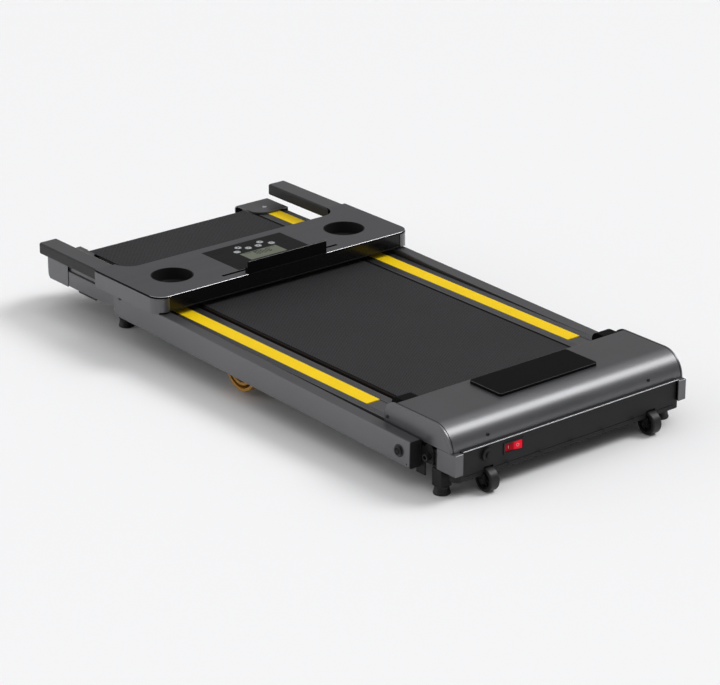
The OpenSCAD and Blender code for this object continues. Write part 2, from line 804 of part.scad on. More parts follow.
module upright_forks() part(black) both() on_upright() difference() {
    intersection() {
        side_view(tube_x0 + tube_wall, tube_x1 - tube_wall) tube_side(tube_wall);
        tube_along_y(tube_x0 + tube_wall, tube_x1 - tube_wall, tube_wall - tube_h / 2, tube_h / 2 - tube_wall,
                     upright_l - 55, upright_l + tail, 1.2, 0);
    }
    tongue_slot();
    rod(hinge_r, tube_x0, tube_x1, upright_l, 0);
    rod(2, tube_x1 - 12, tube_x1, upright_l - 0.5, 16.5);
}

module fork_screws() part(steel) both() on_upright()
    translate([tube_x1, upright_l - 0.5, 16.5]) rotate([0, 90, 0]) pan_screw(4.8, 0.9, 2, 6);

module hinge_pins() part(steel) both() on_upright()
    rod(hinge_r, tube_x0, tube_x1 - tube_wall, upright_l, 0);

// ---- console ----

// Tongue that swings in the fork, with a foot under the handlebar core
module hinge_lugs() part(steel) both() difference() {
    union() {
        rod(tongue_r, tongue_x - tongue_t / 2, tongue_x + tongue_t / 2, hinge_y, hinge_z);
        box(tongue_x - tongue_t / 2, tongue_x + tongue_t / 2, hinge_y - tongue_r, hinge_y + tongue_r, hinge_z, core_z0 - 2);
        box(core_x0, core_x1, hinge_y - 20, hinge_y + 24, con_z0 + con_floor + 0.4, core_z0);
    }
    rod(hinge_r + run, tongue_x - 10, tongue_x + 10, hinge_y, hinge_z);
}

module console_top() part(graphite) difference() {
    plan_view(plate_z, console_top_z) console_plan(1, 0.6, 0);
    both() translate([cup_x, cup_y, plate_z - 1]) cylinder(r = cup_r + liner_t + 0.2, h = 10);
    box(-slot_x, slot_x, slot_y0, slot_y1, plate_z - 1, console_top_z + 1);
    box(glass[0], glass[1], glass[2], glass[3], console_top_z - 1.2, console_top_z + 1);
}

module console_body() part(black) difference() {
    union() {
        plan_view(con_z0 + con_floor, plate_z - 0.2) difference() {
            console_inner(0);
            console_inner(wall);
        }
        box(-slot_x - 2, slot_x + 2, slot_y0 - 2, slot_y1 + 2, con_z0 + con_floor, plate_z - 0.2);
    }
    box(-slot_x, slot_x, slot_y0, slot_y1, 120, plate_z + 1);
    both() box(core_x0, core_x1, arm_rear - 20, arm_rear + 1, core_z0, core_z1);
}

module console_bottom() part(dark) difference() {
    plan_view(con_z0, con_z0 + con_floor) console_inner(0);
    both() box(tongue_x - tongue_t / 2 - 1, tongue_x + tongue_t / 2 + 1, hinge_y - tongue_r - 1, hinge_y + tongue_r + 1, con_z0 - 1, con_z0 + 5);
}

// Side panel: wraps the front corner and hangs just outside the upright
module console_sides() part(graphite) both() difference() {
    plan_view(side_z0, side_top) intersection() {
        difference() {
            console_plan(0, 0, 0);
            console_plan(side_t, side_t, -1);
        }
        rect(con_x - con_r, far, 0, arm_rear);
    }
    box(0, con_x - side_t, 0, far, 0, con_z0);
    box(0, con_x - con_r + 2, 0, far, 0, con_z0 + con_floor);
}

module cup_liners() part(black) both() translate([cup_x, cup_y, 0]) difference() {
    translate([0, 0, con_z0 + con_floor]) cylinder(r = cup_r + liner_t, h = console_top_z - con_z0 - con_floor + 0.2);
    translate([0, 0, con_z0 + con_floor + liner_t]) cylinder(r = cup_r, h = 40);
}

module display_glass() part([0.02, 0.02, 0.022])
    box(glass[0] + 0.2, glass[1] - 0.2, glass[2] + 0.2, glass[3] - 0.2, console_top_z - 1.2, console_top_z + 0.4);

module lcd_panel() part([0.58, 0.60, 0.52])
    box(-43, 45, 874, 913, console_top_z + 0.4, console_top_z + 0.6);

module touch_icons() part([0.7, 0.7, 0.7])
    for (p = [[-38.6, 927], [-22.8, 945], [-7.2, 932], [16.2, 931], [30.8, 945], [46.3, 927]])
        translate([p[0], p[1], console_top_z + 0.4]) cylinder(r = 7.2, h = 0.2);

module tablet_ledge() part(black) {
    side_view(-ledge_x, ledge_x) {
        rect(console_front + 1.2, console_front + 4.2, console_top_z, ledge_z - 1.5);
        translate([console_front + 2.7, ledge_z - 1.5]) circle(1.5);
        rect(console_front + 1.2, console_front + 14, console_top_z, console_top_z + 1.4);
    }
}

module handlebar_cores() part(steel) both()
    tube_along_y(core_x0, core_x1, core_z0, core_z1, hinge_y - 22, grip_end - 8, 2, 2);

module handlebar_grips() part(graphite) both() difference() {
    tube_along_y(grip_x0, grip_x1, grip_z0, grip_z1, arm_rear + 0.3, grip_end, 4, 0);
    box(core_x0, core_x1, arm_rear - 1, grip_end - 7.7, core_z0, core_z1);
}

base_pan();
front_corners();
hood();
hood_covers();
rail_end_blocks();
hood_panel();
cover_screws();
rocker_bezel();
rocker();
breaker_body();
breaker_button();
frame_rails();
cross_members();
hinge_plates();
anchor_bolts();
pivot_bolts();
foot_blocks();
foot_pads();
bow_cushions();
wheel_axles();
wheel_hub_left();
wheel_tyre_left();
wheel_hub_right();
wheel_tyre_right();
deck_board();
deck_cushions();
walking_belt();
front_roller();
roller_pulley();
rear_roller();
roller_bearings();
roller_axles();
tension_bolts();
motor_case();
motor_rotor();
motor_pulley();
drive_belt();
controller();
foot_rails();
grip_strips();
rear_caps();
uprights();
upright_bushes();
upright_plugs();
upright_forks();
fork_screws();
hinge_pins();
hinge_lugs();
console_top();
console_body();
console_bottom();
console_sides();
cup_liners();
display_glass();
lcd_panel();
touch_icons();
tablet_ledge();
handlebar_cores();
handlebar_grips();
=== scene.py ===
"""A folding walking treadmill: the look of every piece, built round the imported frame."""

import json
import math
import sys

import bmesh
import bpy
from bpy.props import FloatProperty, FloatVectorProperty, IntProperty, PointerProperty
from mathutils import Matrix, Vector
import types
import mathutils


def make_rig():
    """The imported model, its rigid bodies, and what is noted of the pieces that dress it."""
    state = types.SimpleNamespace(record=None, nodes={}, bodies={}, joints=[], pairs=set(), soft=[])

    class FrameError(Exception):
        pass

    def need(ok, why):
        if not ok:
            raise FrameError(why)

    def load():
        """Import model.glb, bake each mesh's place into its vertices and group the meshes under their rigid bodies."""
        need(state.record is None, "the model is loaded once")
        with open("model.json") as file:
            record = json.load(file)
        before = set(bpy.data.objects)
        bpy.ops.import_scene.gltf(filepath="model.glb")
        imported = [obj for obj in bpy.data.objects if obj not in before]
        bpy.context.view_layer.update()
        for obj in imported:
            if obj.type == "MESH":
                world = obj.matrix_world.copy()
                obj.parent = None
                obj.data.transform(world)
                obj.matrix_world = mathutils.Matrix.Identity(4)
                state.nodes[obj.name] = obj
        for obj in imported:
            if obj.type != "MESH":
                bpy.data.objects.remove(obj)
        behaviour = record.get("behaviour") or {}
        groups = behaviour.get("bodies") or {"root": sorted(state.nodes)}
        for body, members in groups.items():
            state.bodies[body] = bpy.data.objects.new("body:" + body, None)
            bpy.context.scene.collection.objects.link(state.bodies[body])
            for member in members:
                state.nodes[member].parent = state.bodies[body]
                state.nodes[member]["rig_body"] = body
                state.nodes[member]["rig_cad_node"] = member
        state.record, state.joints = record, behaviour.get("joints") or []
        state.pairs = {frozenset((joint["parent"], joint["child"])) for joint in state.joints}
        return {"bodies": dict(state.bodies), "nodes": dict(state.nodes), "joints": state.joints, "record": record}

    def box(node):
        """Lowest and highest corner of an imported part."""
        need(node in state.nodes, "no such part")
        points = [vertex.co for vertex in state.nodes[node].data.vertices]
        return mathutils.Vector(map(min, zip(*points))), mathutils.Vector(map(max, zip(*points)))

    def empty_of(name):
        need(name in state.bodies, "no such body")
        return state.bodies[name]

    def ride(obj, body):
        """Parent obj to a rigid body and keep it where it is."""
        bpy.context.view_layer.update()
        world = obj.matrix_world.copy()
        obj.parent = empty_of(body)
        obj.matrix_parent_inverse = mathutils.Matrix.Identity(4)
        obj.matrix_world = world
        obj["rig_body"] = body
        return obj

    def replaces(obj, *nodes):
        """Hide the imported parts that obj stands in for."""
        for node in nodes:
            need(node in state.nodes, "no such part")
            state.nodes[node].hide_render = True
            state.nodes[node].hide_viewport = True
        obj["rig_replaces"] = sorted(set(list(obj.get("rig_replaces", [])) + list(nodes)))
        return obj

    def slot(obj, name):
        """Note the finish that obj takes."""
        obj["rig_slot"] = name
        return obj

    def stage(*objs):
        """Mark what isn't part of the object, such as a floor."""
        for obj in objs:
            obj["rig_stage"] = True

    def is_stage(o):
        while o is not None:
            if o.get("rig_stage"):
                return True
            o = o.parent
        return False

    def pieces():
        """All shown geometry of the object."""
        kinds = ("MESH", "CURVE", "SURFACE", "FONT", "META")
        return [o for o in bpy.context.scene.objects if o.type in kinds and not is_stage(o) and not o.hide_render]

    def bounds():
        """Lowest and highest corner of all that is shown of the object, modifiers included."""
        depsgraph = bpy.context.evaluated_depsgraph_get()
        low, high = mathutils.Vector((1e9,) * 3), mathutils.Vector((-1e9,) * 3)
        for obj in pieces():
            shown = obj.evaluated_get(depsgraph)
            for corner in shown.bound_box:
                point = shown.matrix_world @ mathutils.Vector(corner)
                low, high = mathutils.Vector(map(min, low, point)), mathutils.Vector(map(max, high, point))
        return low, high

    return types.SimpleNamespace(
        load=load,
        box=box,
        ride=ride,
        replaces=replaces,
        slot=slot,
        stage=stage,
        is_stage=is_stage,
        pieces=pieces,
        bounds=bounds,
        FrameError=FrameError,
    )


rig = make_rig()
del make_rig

bl_info = {
    "name": "Folding Walking Treadmill",
    "version": (1, 0, 0),
    "blender": (4, 5, 0),
    "location": "View3D > Sidebar > Treadmill",
    "description": "Makes the visible pieces of a folding walking treadmill and its studio",
    "category": "Add Mesh",
}

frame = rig.load()
CAD_BOX = [list(corner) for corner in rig.bounds()]
MM = 0.001

# Sides of a foot rail's top, width of a grip strip, and sides and foot of a hood ear.
RAIL_IN, RAIL_OUT = 207.5 * MM, 271.4 * MM
STRIP_WIDE = 30 * MM
EAR_IN, EAR_OUT, EAR_BASE = 221.5 * MM, 256 * MM, 97.2 * MM

# Places of screws and feet, and the inner side of a handlebar.
FRONT_SCREW_X, FRONT_SCREW_Z = 191 * MM, 102.7 * MM
CAP_SCREW_X = 237 * MM
FRONT_FOOT_X, REAR_FOOT_X = 262 * MM, 231 * MM
GRIP_IN = 264.7 * MM

# ---- Settings ----


def length(name, text, value, most=0.1):
    """A size in metres, with its name and description."""
    return FloatProperty(
        name=name, description=text, default=value, min=0.0, max=most, unit="LENGTH", precision=4
    )


def colour(name, text, value):
    """A colour, with its name and description."""
    return FloatVectorProperty(
        name=name, description=text, default=value, min=0.0, max=1.0, size=3, subtype="COLOR"
    )


class TreadmillColours(bpy.types.PropertyGroup):
    """Colours of the painted, moulded and rubber pieces"""

    graphite: colour("Graphite", "Paint on the hood, rails and uprights", (0.098, 0.098, 0.104))
    black: colour("Black", "Powder coat and moulded parts", (0.010, 0.010, 0.011))
    belt: colour("Belt", "Surface of the walking belt", (0.024, 0.024, 0.026))
    yellow: colour("Yellow", "Grip strips along the foot rails", (0.98, 0.68, 0.008))
    orange: colour("Orange", "Soft bumpers under the deck", (0.42, 0.20, 0.02))
    red: colour("Red", "Lens of the power switch", (0.32, 0.001, 0.006))


class TreadmillHood(bpy.types.PropertyGroup):
    """Sizes of the motor hood"""

    front_radius: length("Front radius", "Radius of the round front edge", 47 * MM)
    cover_radius: length("Cover radius", "Radius at the rear of the side covers", 28 * MM)
    ear_radius: length("Ear radius", "Radius at the rear of the two ears", 14 * MM)
    ear_length: length("Ear length", "How far the ears reach behind the hood", 32 * MM)
    lip: length("Lip", "Rounding of the rear edge", 1.6 * MM)
    wall: length("Wall", "Thickness of the shell", 2.5 * MM)
    gap: length("Gap", "Extra gap between the shell and a side cover", 1.1 * MM)


class TreadmillDeck(bpy.types.PropertyGroup):
    """Sizes of the belt and rails"""

    emboss: length("Emboss", "Distance between two raised marks on the belt", 3.2 * MM)
    emboss_depth: length("Emboss depth", "Height of the marks on the belt", 0.35 * MM)
    strip_ribs: IntProperty(
        name="Strip ribs", description="Ridges along each grip strip", default=9, min=3, max=20
    )
    strip_depth: length("Strip depth", "Depth of the grooves in a grip strip", 0.5 * MM)


class TreadmillEdges(bpy.types.PropertyGroup):
    """Rounding of edges"""

    sheet: length("Sheet edge", "Rounding of sheet metal edges", 0.5 * MM)
    moulded: length("Moulded edge", "Rounding of moulded edges", 0.9 * MM)
    grip: length("Grip edge", "Rounding of the handlebars", 4.5 * MM)


class TreadmillStudio(bpy.types.PropertyGroup):
    """Camera, floor and light"""

    camera_place: FloatVectorProperty(
        name="Camera place",
        description="Where the camera stands",
        default=(-3.2370, -4.0004, 2.0928),
        unit="LENGTH",
    )
    camera_turn: FloatVectorProperty(
        name="Camera turn",
        description="How the camera is turned",
        default=(1.1905, 0.0, -0.6834),
        subtype="EULER",
    )
    lens: FloatProperty(
        name="Lens", description="Focal length in millimetres", default=145.43, min=20.0, max=400.0
    )
    floor: colour("Floor", "Colour of the floor", (0.86, 0.86, 0.87))
    sky: FloatProperty(
        name="Sky", description="Strength of the even light", default=0.24, min=0.0, max=5.0
    )


# ---- Shader maths ----


class Value:
    """A shader socket that takes part in sums and products."""

    def __init__(self, finish, socket):
        self.finish = finish
        self.socket = socket

    def maths(self, operation, *others):
        inputs = {i: value for i, value in enumerate((self, *others))}
        return self.finish.node("ShaderNodeMath", {"operation": operation}, inputs)

    def __add__(self, other):
        return self.maths("ADD", other)

    def __sub__(self, other):
        return self.maths("SUBTRACT", other)

    def __rsub__(self, other):
        return self.finish.node("ShaderNodeMath", {"operation": "SUBTRACT"}, {0: other, 1: self})

    def __mul__(self, other):
        return self.maths("MULTIPLY", other)

    __radd__ = __add__
    __rmul__ = __mul__

    def sine(self):
        return self.maths("SINE")

    def size(self):
        return self.maths("ABSOLUTE")

    def smooth(self, least, most):
        """0 below the least value, 1 above the most, and a soft slope between."""
        settings = {"interpolation_type": "SMOOTHSTEP"}
        inputs = {"Value": self, "From Min": least, "From Max": most}
        return self.finish.node("ShaderNodeMapRange", settings, inputs)


class Finish:
    """A material under construction round one Principled shader."""

    def __init__(self, name, base, roughness, metallic=0.0, specular=0.5, coat=0.03, **fixed):
        self.material = bpy.data.materials.new(name)
        self.material.use_nodes = True
        self.material.diffuse_color = (*base, 1.0)
        self.tree = self.material.node_tree
        self.shader = self.tree.nodes["Principled BSDF"]
        self.base = (*base, 1.0)
        self.paint(self.base, roughness)
        self.set({"Metallic": metallic, "Specular IOR Level": specular, "Coat Roughness": coat})
        self.set(fixed)

    def feed(self, socket, value):
        if isinstance(value, Value):
            self.tree.links.new(value.socket, socket)
        else:
            socket.default_value = value

    def set(self, inputs):
        for key, value in inputs.items():
            self.feed(self.shader.inputs[key], value)

    def paint(self, colour, roughness):
        self.set({"Base Color": colour, "Roughness": roughness})

    def node(self, kind, settings=None, inputs=None, output=0):
        """Adds a node with its settings and inputs, and returns one output."""
        made = self.tree.nodes.new(kind)
        for key, value in (settings or {}).items():
            setattr(made, key, value)
        for key, value in (inputs or {}).items():
            self.feed(made.inputs[key], value)
        return Value(self, made.outputs[output])

    def place(self, scale=(1.0, 1.0, 1.0), turn=(0.0, 0.0, 0.0), source="Object"):
        """Coordinates on the piece, stretched and turned."""
        point = self.node("ShaderNodeTexCoord", output=source)
        inputs = {"Vector": point, "Scale": scale, "Rotation": turn}
        return self.node("ShaderNodeMapping", None, inputs)

    def axes(self, point):
        """The three numbers of a point."""
        split = self.node("ShaderNodeSeparateXYZ", None, {0: point}).socket.node
        return [Value(self, output) for output in split.outputs]

    def noise(self, point, scale, detail=2.0, rough=0.5):
        inputs = {"Vector": point, "Scale": scale, "Detail": detail, "Roughness": rough}
        return self.node("ShaderNodeTexNoise", None, inputs)

    def cells(self, point, scale, feature="F1", output="Distance"):
        inputs = {"Vector": point, "Scale": scale}
        return self.node("ShaderNodeTexVoronoi", {"feature": feature}, inputs, output)

    def cell_values(self, point, scale):
        """A number from 0 to 1 for each cell."""
        colours = self.cells(point, scale, output="Color")
        return self.node("ShaderNodeSeparateColor", None, {0: colours})

    def shade(self, factor, first, second):
        """A colour between two, by a factor."""
        inputs = {"Factor": factor, 6: (*first, 1.0), 7: (*second, 1.0)}
        return self.node("ShaderNodeMix", {"data_type": "RGBA"}, inputs, 2)

    def tones(self, factor, darker, lighter):
        """The base colour between a darker and a lighter tone, by a factor."""
        return self.shade(factor, tone(self.base[:3], darker), tone(self.base[:3], lighter))

    def bump(self, height, depth, strength=1.0):
        """Raises the surface by a height from 0 to 1 times a depth."""
        inputs = {"Height": height, "Distance": depth, "Strength": strength}
        self.set({"Normal": self.node("ShaderNodeBump", None, inputs)})
        return self


def tone(base, factor):
    """A colour made lighter or darker."""
    return tuple(min(1.0, c * factor) for c in base)


# ---- Finishes ----


def graphite_paint(colours):
    """Metallic graphite paint: fine flakes, faint mottling and orange peel."""
    f = Finish("Graphite paint", colours.graphite, 0.34, 0.65, specular=0.35, coat=0.27)
    point = f.place()
    sparkle = f.cell_values(point, 2600.0)
    cloud = f.noise(point, 9.0, 3.0)
    mixed = sparkle * 0.55 + cloud * 0.45
    f.set({
        "Base Color": f.tones(mixed, 0.78, 1.25),
        "Roughness": cloud * 0.10 + sparkle * 0.05 + 0.30,
        "Coat Weight": cloud * 0.10 + 0.55,
    })
    return f.bump(f.noise(point, 900.0, 2.0), 0.00003, 0.35)


def black_powder(colours):
    """Black powder coat with a fine pebble."""
    f = Finish("Black powder coat", colours.black, 0.5, specular=0.2)
    point = f.place()
    grain = f.noise(point, 1400.0, 3.0, 0.6)
    cloud = f.noise(point, 14.0)
    f.paint(f.tones(cloud, 0.75, 1.5), cloud * 0.14 + 0.40)
    return f.bump(grain, 0.00006, 0.5)


def black_moulding(colours):
    """Spark-textured black plastic."""
    f = Finish("Moulded black plastic", colours.black, 0.55, specular=0.22)
    point = f.place()
    cells = f.cells(point, 1500.0)
    cloud = f.noise(point, 20.0)
    f.paint(f.tones(cloud, 0.8, 1.4), cells * 0.15 + 0.48)
    return f.bump(cells, 0.00008, 0.45)


def grip_foam(colours):
    """Soft skin of the handlebars: dark grey with a close leathery grain."""
    f = Finish("Grip skin", (0.03, 0.03, 0.031), 0.5, specular=0.2)
    point = f.place()
    grain = f.cells(point, 900.0, "DISTANCE_TO_EDGE")
    cloud = f.noise(point, 30.0)
    f.paint(f.shade(cloud, (0.024, 0.024, 0.025), (0.036, 0.036, 0.038)), cloud * 0.12 + 0.44)
    return f.bump(grain.smooth(0.0, 0.25), 0.00006, 0.4)


def black_gloss(colours):
    """Polished black plastic with faint wiping marks."""
    f = Finish("Gloss black plastic", (0.004, 0.004, 0.0045), 0.2, specular=0.25, coat=0.04)
    wipes = f.noise(f.place((3.0, 40.0, 40.0), (0.0, 0.0, 0.5)), 4.0, 4.0)
    f.set({"Roughness": wipes.smooth(0.35, 0.8) * 0.10 + 0.18, "Coat Weight": wipes * 0.1 + 0.02})
    return f.bump(f.noise(f.place(), 60.0), 0.00002, 0.3)


def deep_black(colours):
    """Deep black plastic that hardly mirrors anything."""
    f = Finish("Deep black plastic", tone(colours.black, 0.5), 0.4, specular=0.03)
    cloud = f.noise(f.place(), 25.0)
    f.paint(f.tones(cloud, 0.7, 1.3), cloud * 0.1 + 0.34)
    return f


def panel_glass(colours):
    """Dark printed panel of the console, with a fine satin face."""
    f = Finish("Panel glass", (0.008, 0.008, 0.009), 0.34, specular=0.07, coat=0.1)
    smudge = f.noise(f.place(), 22.0, 4.0)
    f.paint(
        f.shade(smudge, (0.006, 0.006, 0.0065), (0.010, 0.010, 0.011)),
        smudge.smooth(0.4, 0.75) * 0.10 + 0.30,
    )
    return f


def brushed_plate(colours):
    """Dark metal with brush lines across the console."""
    f = Finish("Brushed dark plate", tone(colours.graphite, 0.9), 0.42, 0.45, specular=0.35)
    lines = f.noise(f.place((14.0, 2600.0, 2600.0)), 1.0, 4.0, 0.7)
    broad = f.noise(f.place((3.0, 60.0, 1.0)), 1.0, 2.0)
    mixed = lines * 0.7 + broad * 0.3
    f.paint(f.tones(mixed, 0.72, 1.28), lines * 0.16 + 0.36)
    return f.bump(lines, 0.00003, 0.4)


def polished_edge(colours):
    """Bright metal laid on narrow edges as a painted highlight: the seam trim, the front bevel of the console plate
    and the top edge of the tablet fin.
    """
    f = Finish("Polished edge", (0.55, 0.55, 0.57), 0.24, 1.0)
    lines = f.noise(f.place((20.0, 1500.0, 1500.0)), 1.0, 3.0)
    rough = lines * 0.14 + 0.20
    f.paint(f.shade(lines, (0.34, 0.34, 0.355), (0.46, 0.46, 0.475)), rough)
    return f


def zinc_steel(colours):
    """Zinc plated steel with a mottled, slightly scratched face."""
    f = Finish("Zinc plated steel", (0.55, 0.56, 0.58), 0.32, 1.0)
    patch = f.cell_values(f.place(), 260.0)
    scratches = f.noise(f.place((900.0, 30.0, 60.0), (0.4, 0.2, 0.9)), 1.0, 3.0)
    f.paint(
        f.shade(patch, (0.42, 0.43, 0.45), (0.60, 0.61, 0.63)),
        patch * 0.12 + scratches * 0.12 + 0.22,
    )
    return f.bump(scratches, 0.00002, 0.3)


def black_oxide(colours):
    """Blackened steel of the bolts, worn a little brighter in places."""
    f = Finish("Black oxide steel", (0.035, 0.035, 0.037), 0.36, 0.8)
    wear = f.noise(f.place(), 130.0, 4.0).smooth(0.52, 0.75)
    f.paint(f.shade(wear, (0.030, 0.030, 0.032), (0.11, 0.11, 0.115)), wear * -0.1 + 0.40)
    return f.bump(f.noise(f.place(), 1100.0), 0.00003, 0.4)


def belt_fabric(colours, deck):
    """Walking belt: rows of small raised diamonds on a dark coated fabric, with painted shade in the hollows and
    painted light on the raised diamonds.
    """
    f = Finish("Embossed belt", colours.belt, 0.62, specular=0.22)
    run = f.place(source="UV")
    across, along, _ = f.axes(run)
    turn = math.pi / deck.emboss
    first = ((across + along * 0.62) * turn).sine().size()
    second = ((across - along * 0.62) * turn).sine().size()
    diamonds = (first * second).smooth(0.18, 0.72)
    fibre = f.noise(f.place(source="UV"), 1800.0, 2.0)
    cloud = f.noise(run, 7.0, 3.0)
    # Painted shade and painted light: the colour follows the relief, dark in the hollows and light on the diamonds.
    f.paint(f.tones(diamonds * 0.8 + cloud * 0.2, 0.1, 2.1), diamonds * -0.16 + cloud * 0.10 + 0.60)
    return f.bump(diamonds * 0.9 + fibre * 0.1, deck.emboss_depth, 0.9)


def yellow_strip(colours):
    """Grip strip: bright moulded yellow with a fine grain and slight dust."""
    f = Finish("Yellow grip strip", colours.yellow, 0.42, specular=0.2)
    point = f.place()
    dust = f.noise(point, 16.0, 4.0)
    fine = f.noise(f.place((1.0, 0.05, 1.0)), 1200.0, 2.0)
    f.paint(f.tones(dust * 0.6 + fine * 0.4, 0.86, 1.02), dust * 0.14 + 0.36)
    return f.bump(fine, 0.00006, 0.4)


def soft_rubber(colours):
    """Moulded black rubber with a dusty bloom."""
    f = Finish("Moulded rubber", (0.008, 0.008, 0.008), 0.6, specular=0.35)
    point = f.place()
    bloom = f.noise(point, 70.0, 4.0)
    f.paint(f.shade(bloom, (0.005, 0.005, 0.005), (0.012, 0.012, 0.012)), bloom * 0.2 + 0.36)
    return f.bump(f.noise(point, 1300.0, 3.0), 0.0001, 0.5)


def orange_elastomer(colours):
    """Springy orange elastomer of the bumpers and cushions."""
    depth = {"Subsurface Weight": 0.15, "Subsurface Scale": 0.004}
    f = Finish("Orange elastomer", colours.orange, 0.45, **depth)
    point = f.place()
    swirl = f.noise(point, 45.0, 3.0)
    f.paint(f.tones(swirl, 0.72, 1.15), swirl * 0.18 + 0.34)
    return f.bump(f.noise(point, 600.0), 0.00008, 0.4)


def red_lens(colours):
    """Translucent red plastic of the power switch, with a painted glow on its right half that stands in for light
    falling on that side.
    """
    f = Finish("Red switch lens", colours.red, 0.3, specular=0.08, **{"Emission Strength": 0.5})
    point = f.place()
    glow = f.noise(point, 120.0, 2.0)
    centre = middle("rocker").x
    # Painted light: the emission brightens the right half of the switch, as if light fell on that side.
    lit = f.axes(point)[0].smooth(centre - 1 * MM, centre + 5 * MM)
    f.set({
        "Base Color": f.tones(glow, 0.85, 1.15),
        "Emission Color": f.shade(lit * 0.9 + glow * 0.1, (0.0, 0.0, 0.0), (1.0, 0.012, 0.045)),
        "Roughness": glow * 0.12 + 0.26,
    })
    return f


def pale_print(colours):
    """Printed marks."""
    f = Finish("Pale print", (0.42, 0.43, 0.44), 0.5)
    speck = f.noise(f.place(), 1500.0, 2.0)
    f.set({"Base Color": f.shade(speck, (0.34, 0.35, 0.36), (0.48, 0.49, 0.50))})
    return f.bump(speck, 0.00002, 0.3)


def lcd_film(colours):
    """Grey-green display film with a faint dot grid."""
    f = Finish("Display film", (0.30, 0.33, 0.25), 0.4, specular=0.3)
    x, y, _ = f.axes(f.place())
    grid = ((x * 5200.0).sine() * (y * 5200.0).sine()).smooth(-0.2, 0.9)
    haze = f.noise(f.place(), 30.0)
    f.paint(
        f.shade(grid * 0.3 + haze * 0.7, (0.105, 0.115, 0.085), (0.15, 0.165, 0.125)),
        haze * 0.12 + 0.34,
    )
    return f


def lcd_ink(colours):
    """Dark segments of the display."""
    f = Finish("Display segments", (0.004, 0.004, 0.003), 0.5, specular=0.1)
    cloud = f.noise(f.place(), 400.0)
    f.set({"Base Color": f.shade(cloud, (0.003, 0.003, 0.002), (0.008, 0.009, 0.007))})
    return f


def deck_laminate(colours):
    """Laminated fibre board."""
    f = Finish("Deck board", (0.014, 0.011, 0.009), 0.5, specular=0.1)
    fibre = f.noise(f.place((60.0, 12.0, 400.0)), 6.0, 5.0, 0.65)
    f.paint(f.shade(fibre, (0.009, 0.007, 0.006), (0.022, 0.017, 0.014)), fibre * 0.2 + 0.4)
    return f.bump(fibre, 0.0001, 0.4)


def circuit_green(colours):
    """Lacquered circuit board with its parts."""
    f = Finish("Circuit board", (0.01, 0.09, 0.04), 0.35, **{"Coat Weight": 0.3})
    cells = f.cell_values(f.place(), 220.0)
    f.paint(f.shade(cells, (0.006, 0.06, 0.028), (0.02, 0.15, 0.07)), cells * 0.3 + 0.25)
    return f.bump(cells, 0.0003, 0.4)


# Each soft box: azimuth, elevation and spread in degrees, and strength.
SOFT_BOXES = (
    (0.0, 90.0, 60.0, 0.66),
    (-27.5, 48.0, 17.0, 10.3),
    (100.0, 14.0, 34.0, 0.4),
    (150.0, 14.0, 34.0, 1.3),
    (-110.0, 60.0, 30.0, 0.4),
    (0.0, 50.0, 34.0, 0.5),
)

MADE = {}


def finish(key):
    """The material of that name, made at its first use."""
    scene = bpy.context.scene
    if key not in MADE:
        extra = [scene.treadmill_deck] if key == "belt_fabric" else []
        MADE[key] = globals()[key](scene.treadmill_colours, *extra).material
    return MADE[key]


# ---- Shapes ----


def low(node):
    """Lowest corner of a CAD node."""
    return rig.box(node)[0]


def high(node):
    """Highest corner of a CAD node."""
    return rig.box(node)[1]


def middle(node):
    """Middle of a CAD node's box."""
    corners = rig.box(node)
    return (corners[0] + corners[1]) / 2


def arc(centre, radius, start, stop, steps=8):
    """Points along an arc in a flat plane, between two angles in degrees."""
    turns = [math.radians(start + (stop - start) * i / steps) for i in range(steps + 1)]
    return [(centre[0] + radius * math.cos(t), centre[1] + radius * math.sin(t)) for t in turns]


def scaled(points):
    """Points given in millimetres, as metres."""
    return [(u * MM, v * MM) for u, v in points]


def on_axis(axis, u, v, level):
    """The point at u, v in the plane square to an axis, at a level along it."""
    return Vector({"X": (level, u, v), "Y": (u, level, v), "Z": (u, v, level)}[axis])


def rounded(u0, u1, v0, v1, radius, steps=6):
    """Outline of a rectangle with round corners."""
    return (
        arc((u1 - radius, v1 - radius), radius, 0, 90, steps)
        + arc((u0 + radius, v1 - radius), radius, 90, 180, steps)
        + arc((u0 + radius, v0 + radius), radius, 180, 270, steps)
        + arc((u1 - radius, v0 + radius), radius, 270, 360, steps)
    )


def add_prism(bm, outline, axis, start, stop):
    """Extrudes a closed outline between two levels of an axis."""
    verts = [bm.verts.new(on_axis(axis, u, v, start)) for u, v in outline]
    made = bmesh.ops.extrude_face_region(bm, geom=[bm.faces.new(verts)])
    moved = [g for g in made["geom"] if isinstance(g, bmesh.types.BMVert)]
    bmesh.ops.translate(bm, verts=moved, vec=on_axis(axis, 0.0, 0.0, stop - start))
    return verts + moved


def add_lathe(bm, outline, centre, axis, steps=48):
    """Spins an outline of (distance along the axis, radius) points about an axis."""
    along = Vector({"X": (1, 0, 0), "Y": (0, 1, 0), "Z": (0, 0, 1)}[axis])
    out = Vector({"X": (0, 0, 1), "Y": (0, 0, 1), "Z": (1, 0, 0)}[axis])
    verts = [bm.verts.new(Vector(centre) + along * d + out * r) for d, r in outline]
    edges = [bm.edges.new((verts[i], verts[i + 1])) for i in range(len(verts) - 1)]
    how = {"cent": Vector(centre), "axis": along, "angle": math.tau, "steps": steps}
    bmesh.ops.spin(bm, geom=verts + edges, use_merge=True, **how)
    bmesh.ops.remove_doubles(bm, verts=bm.verts, dist=1e-6)


def add_copy(bm, node):
    """Adds a merged copy of a CAD node's shape."""
    bm.from_mesh(frame["nodes"][node].data)
    bmesh.ops.remove_doubles(bm, verts=bm.verts, dist=2e-6)
    flat = math.radians(0.6)
    bmesh.ops.dissolve_limit(bm, angle_limit=flat, verts=bm.verts, edges=bm.edges)


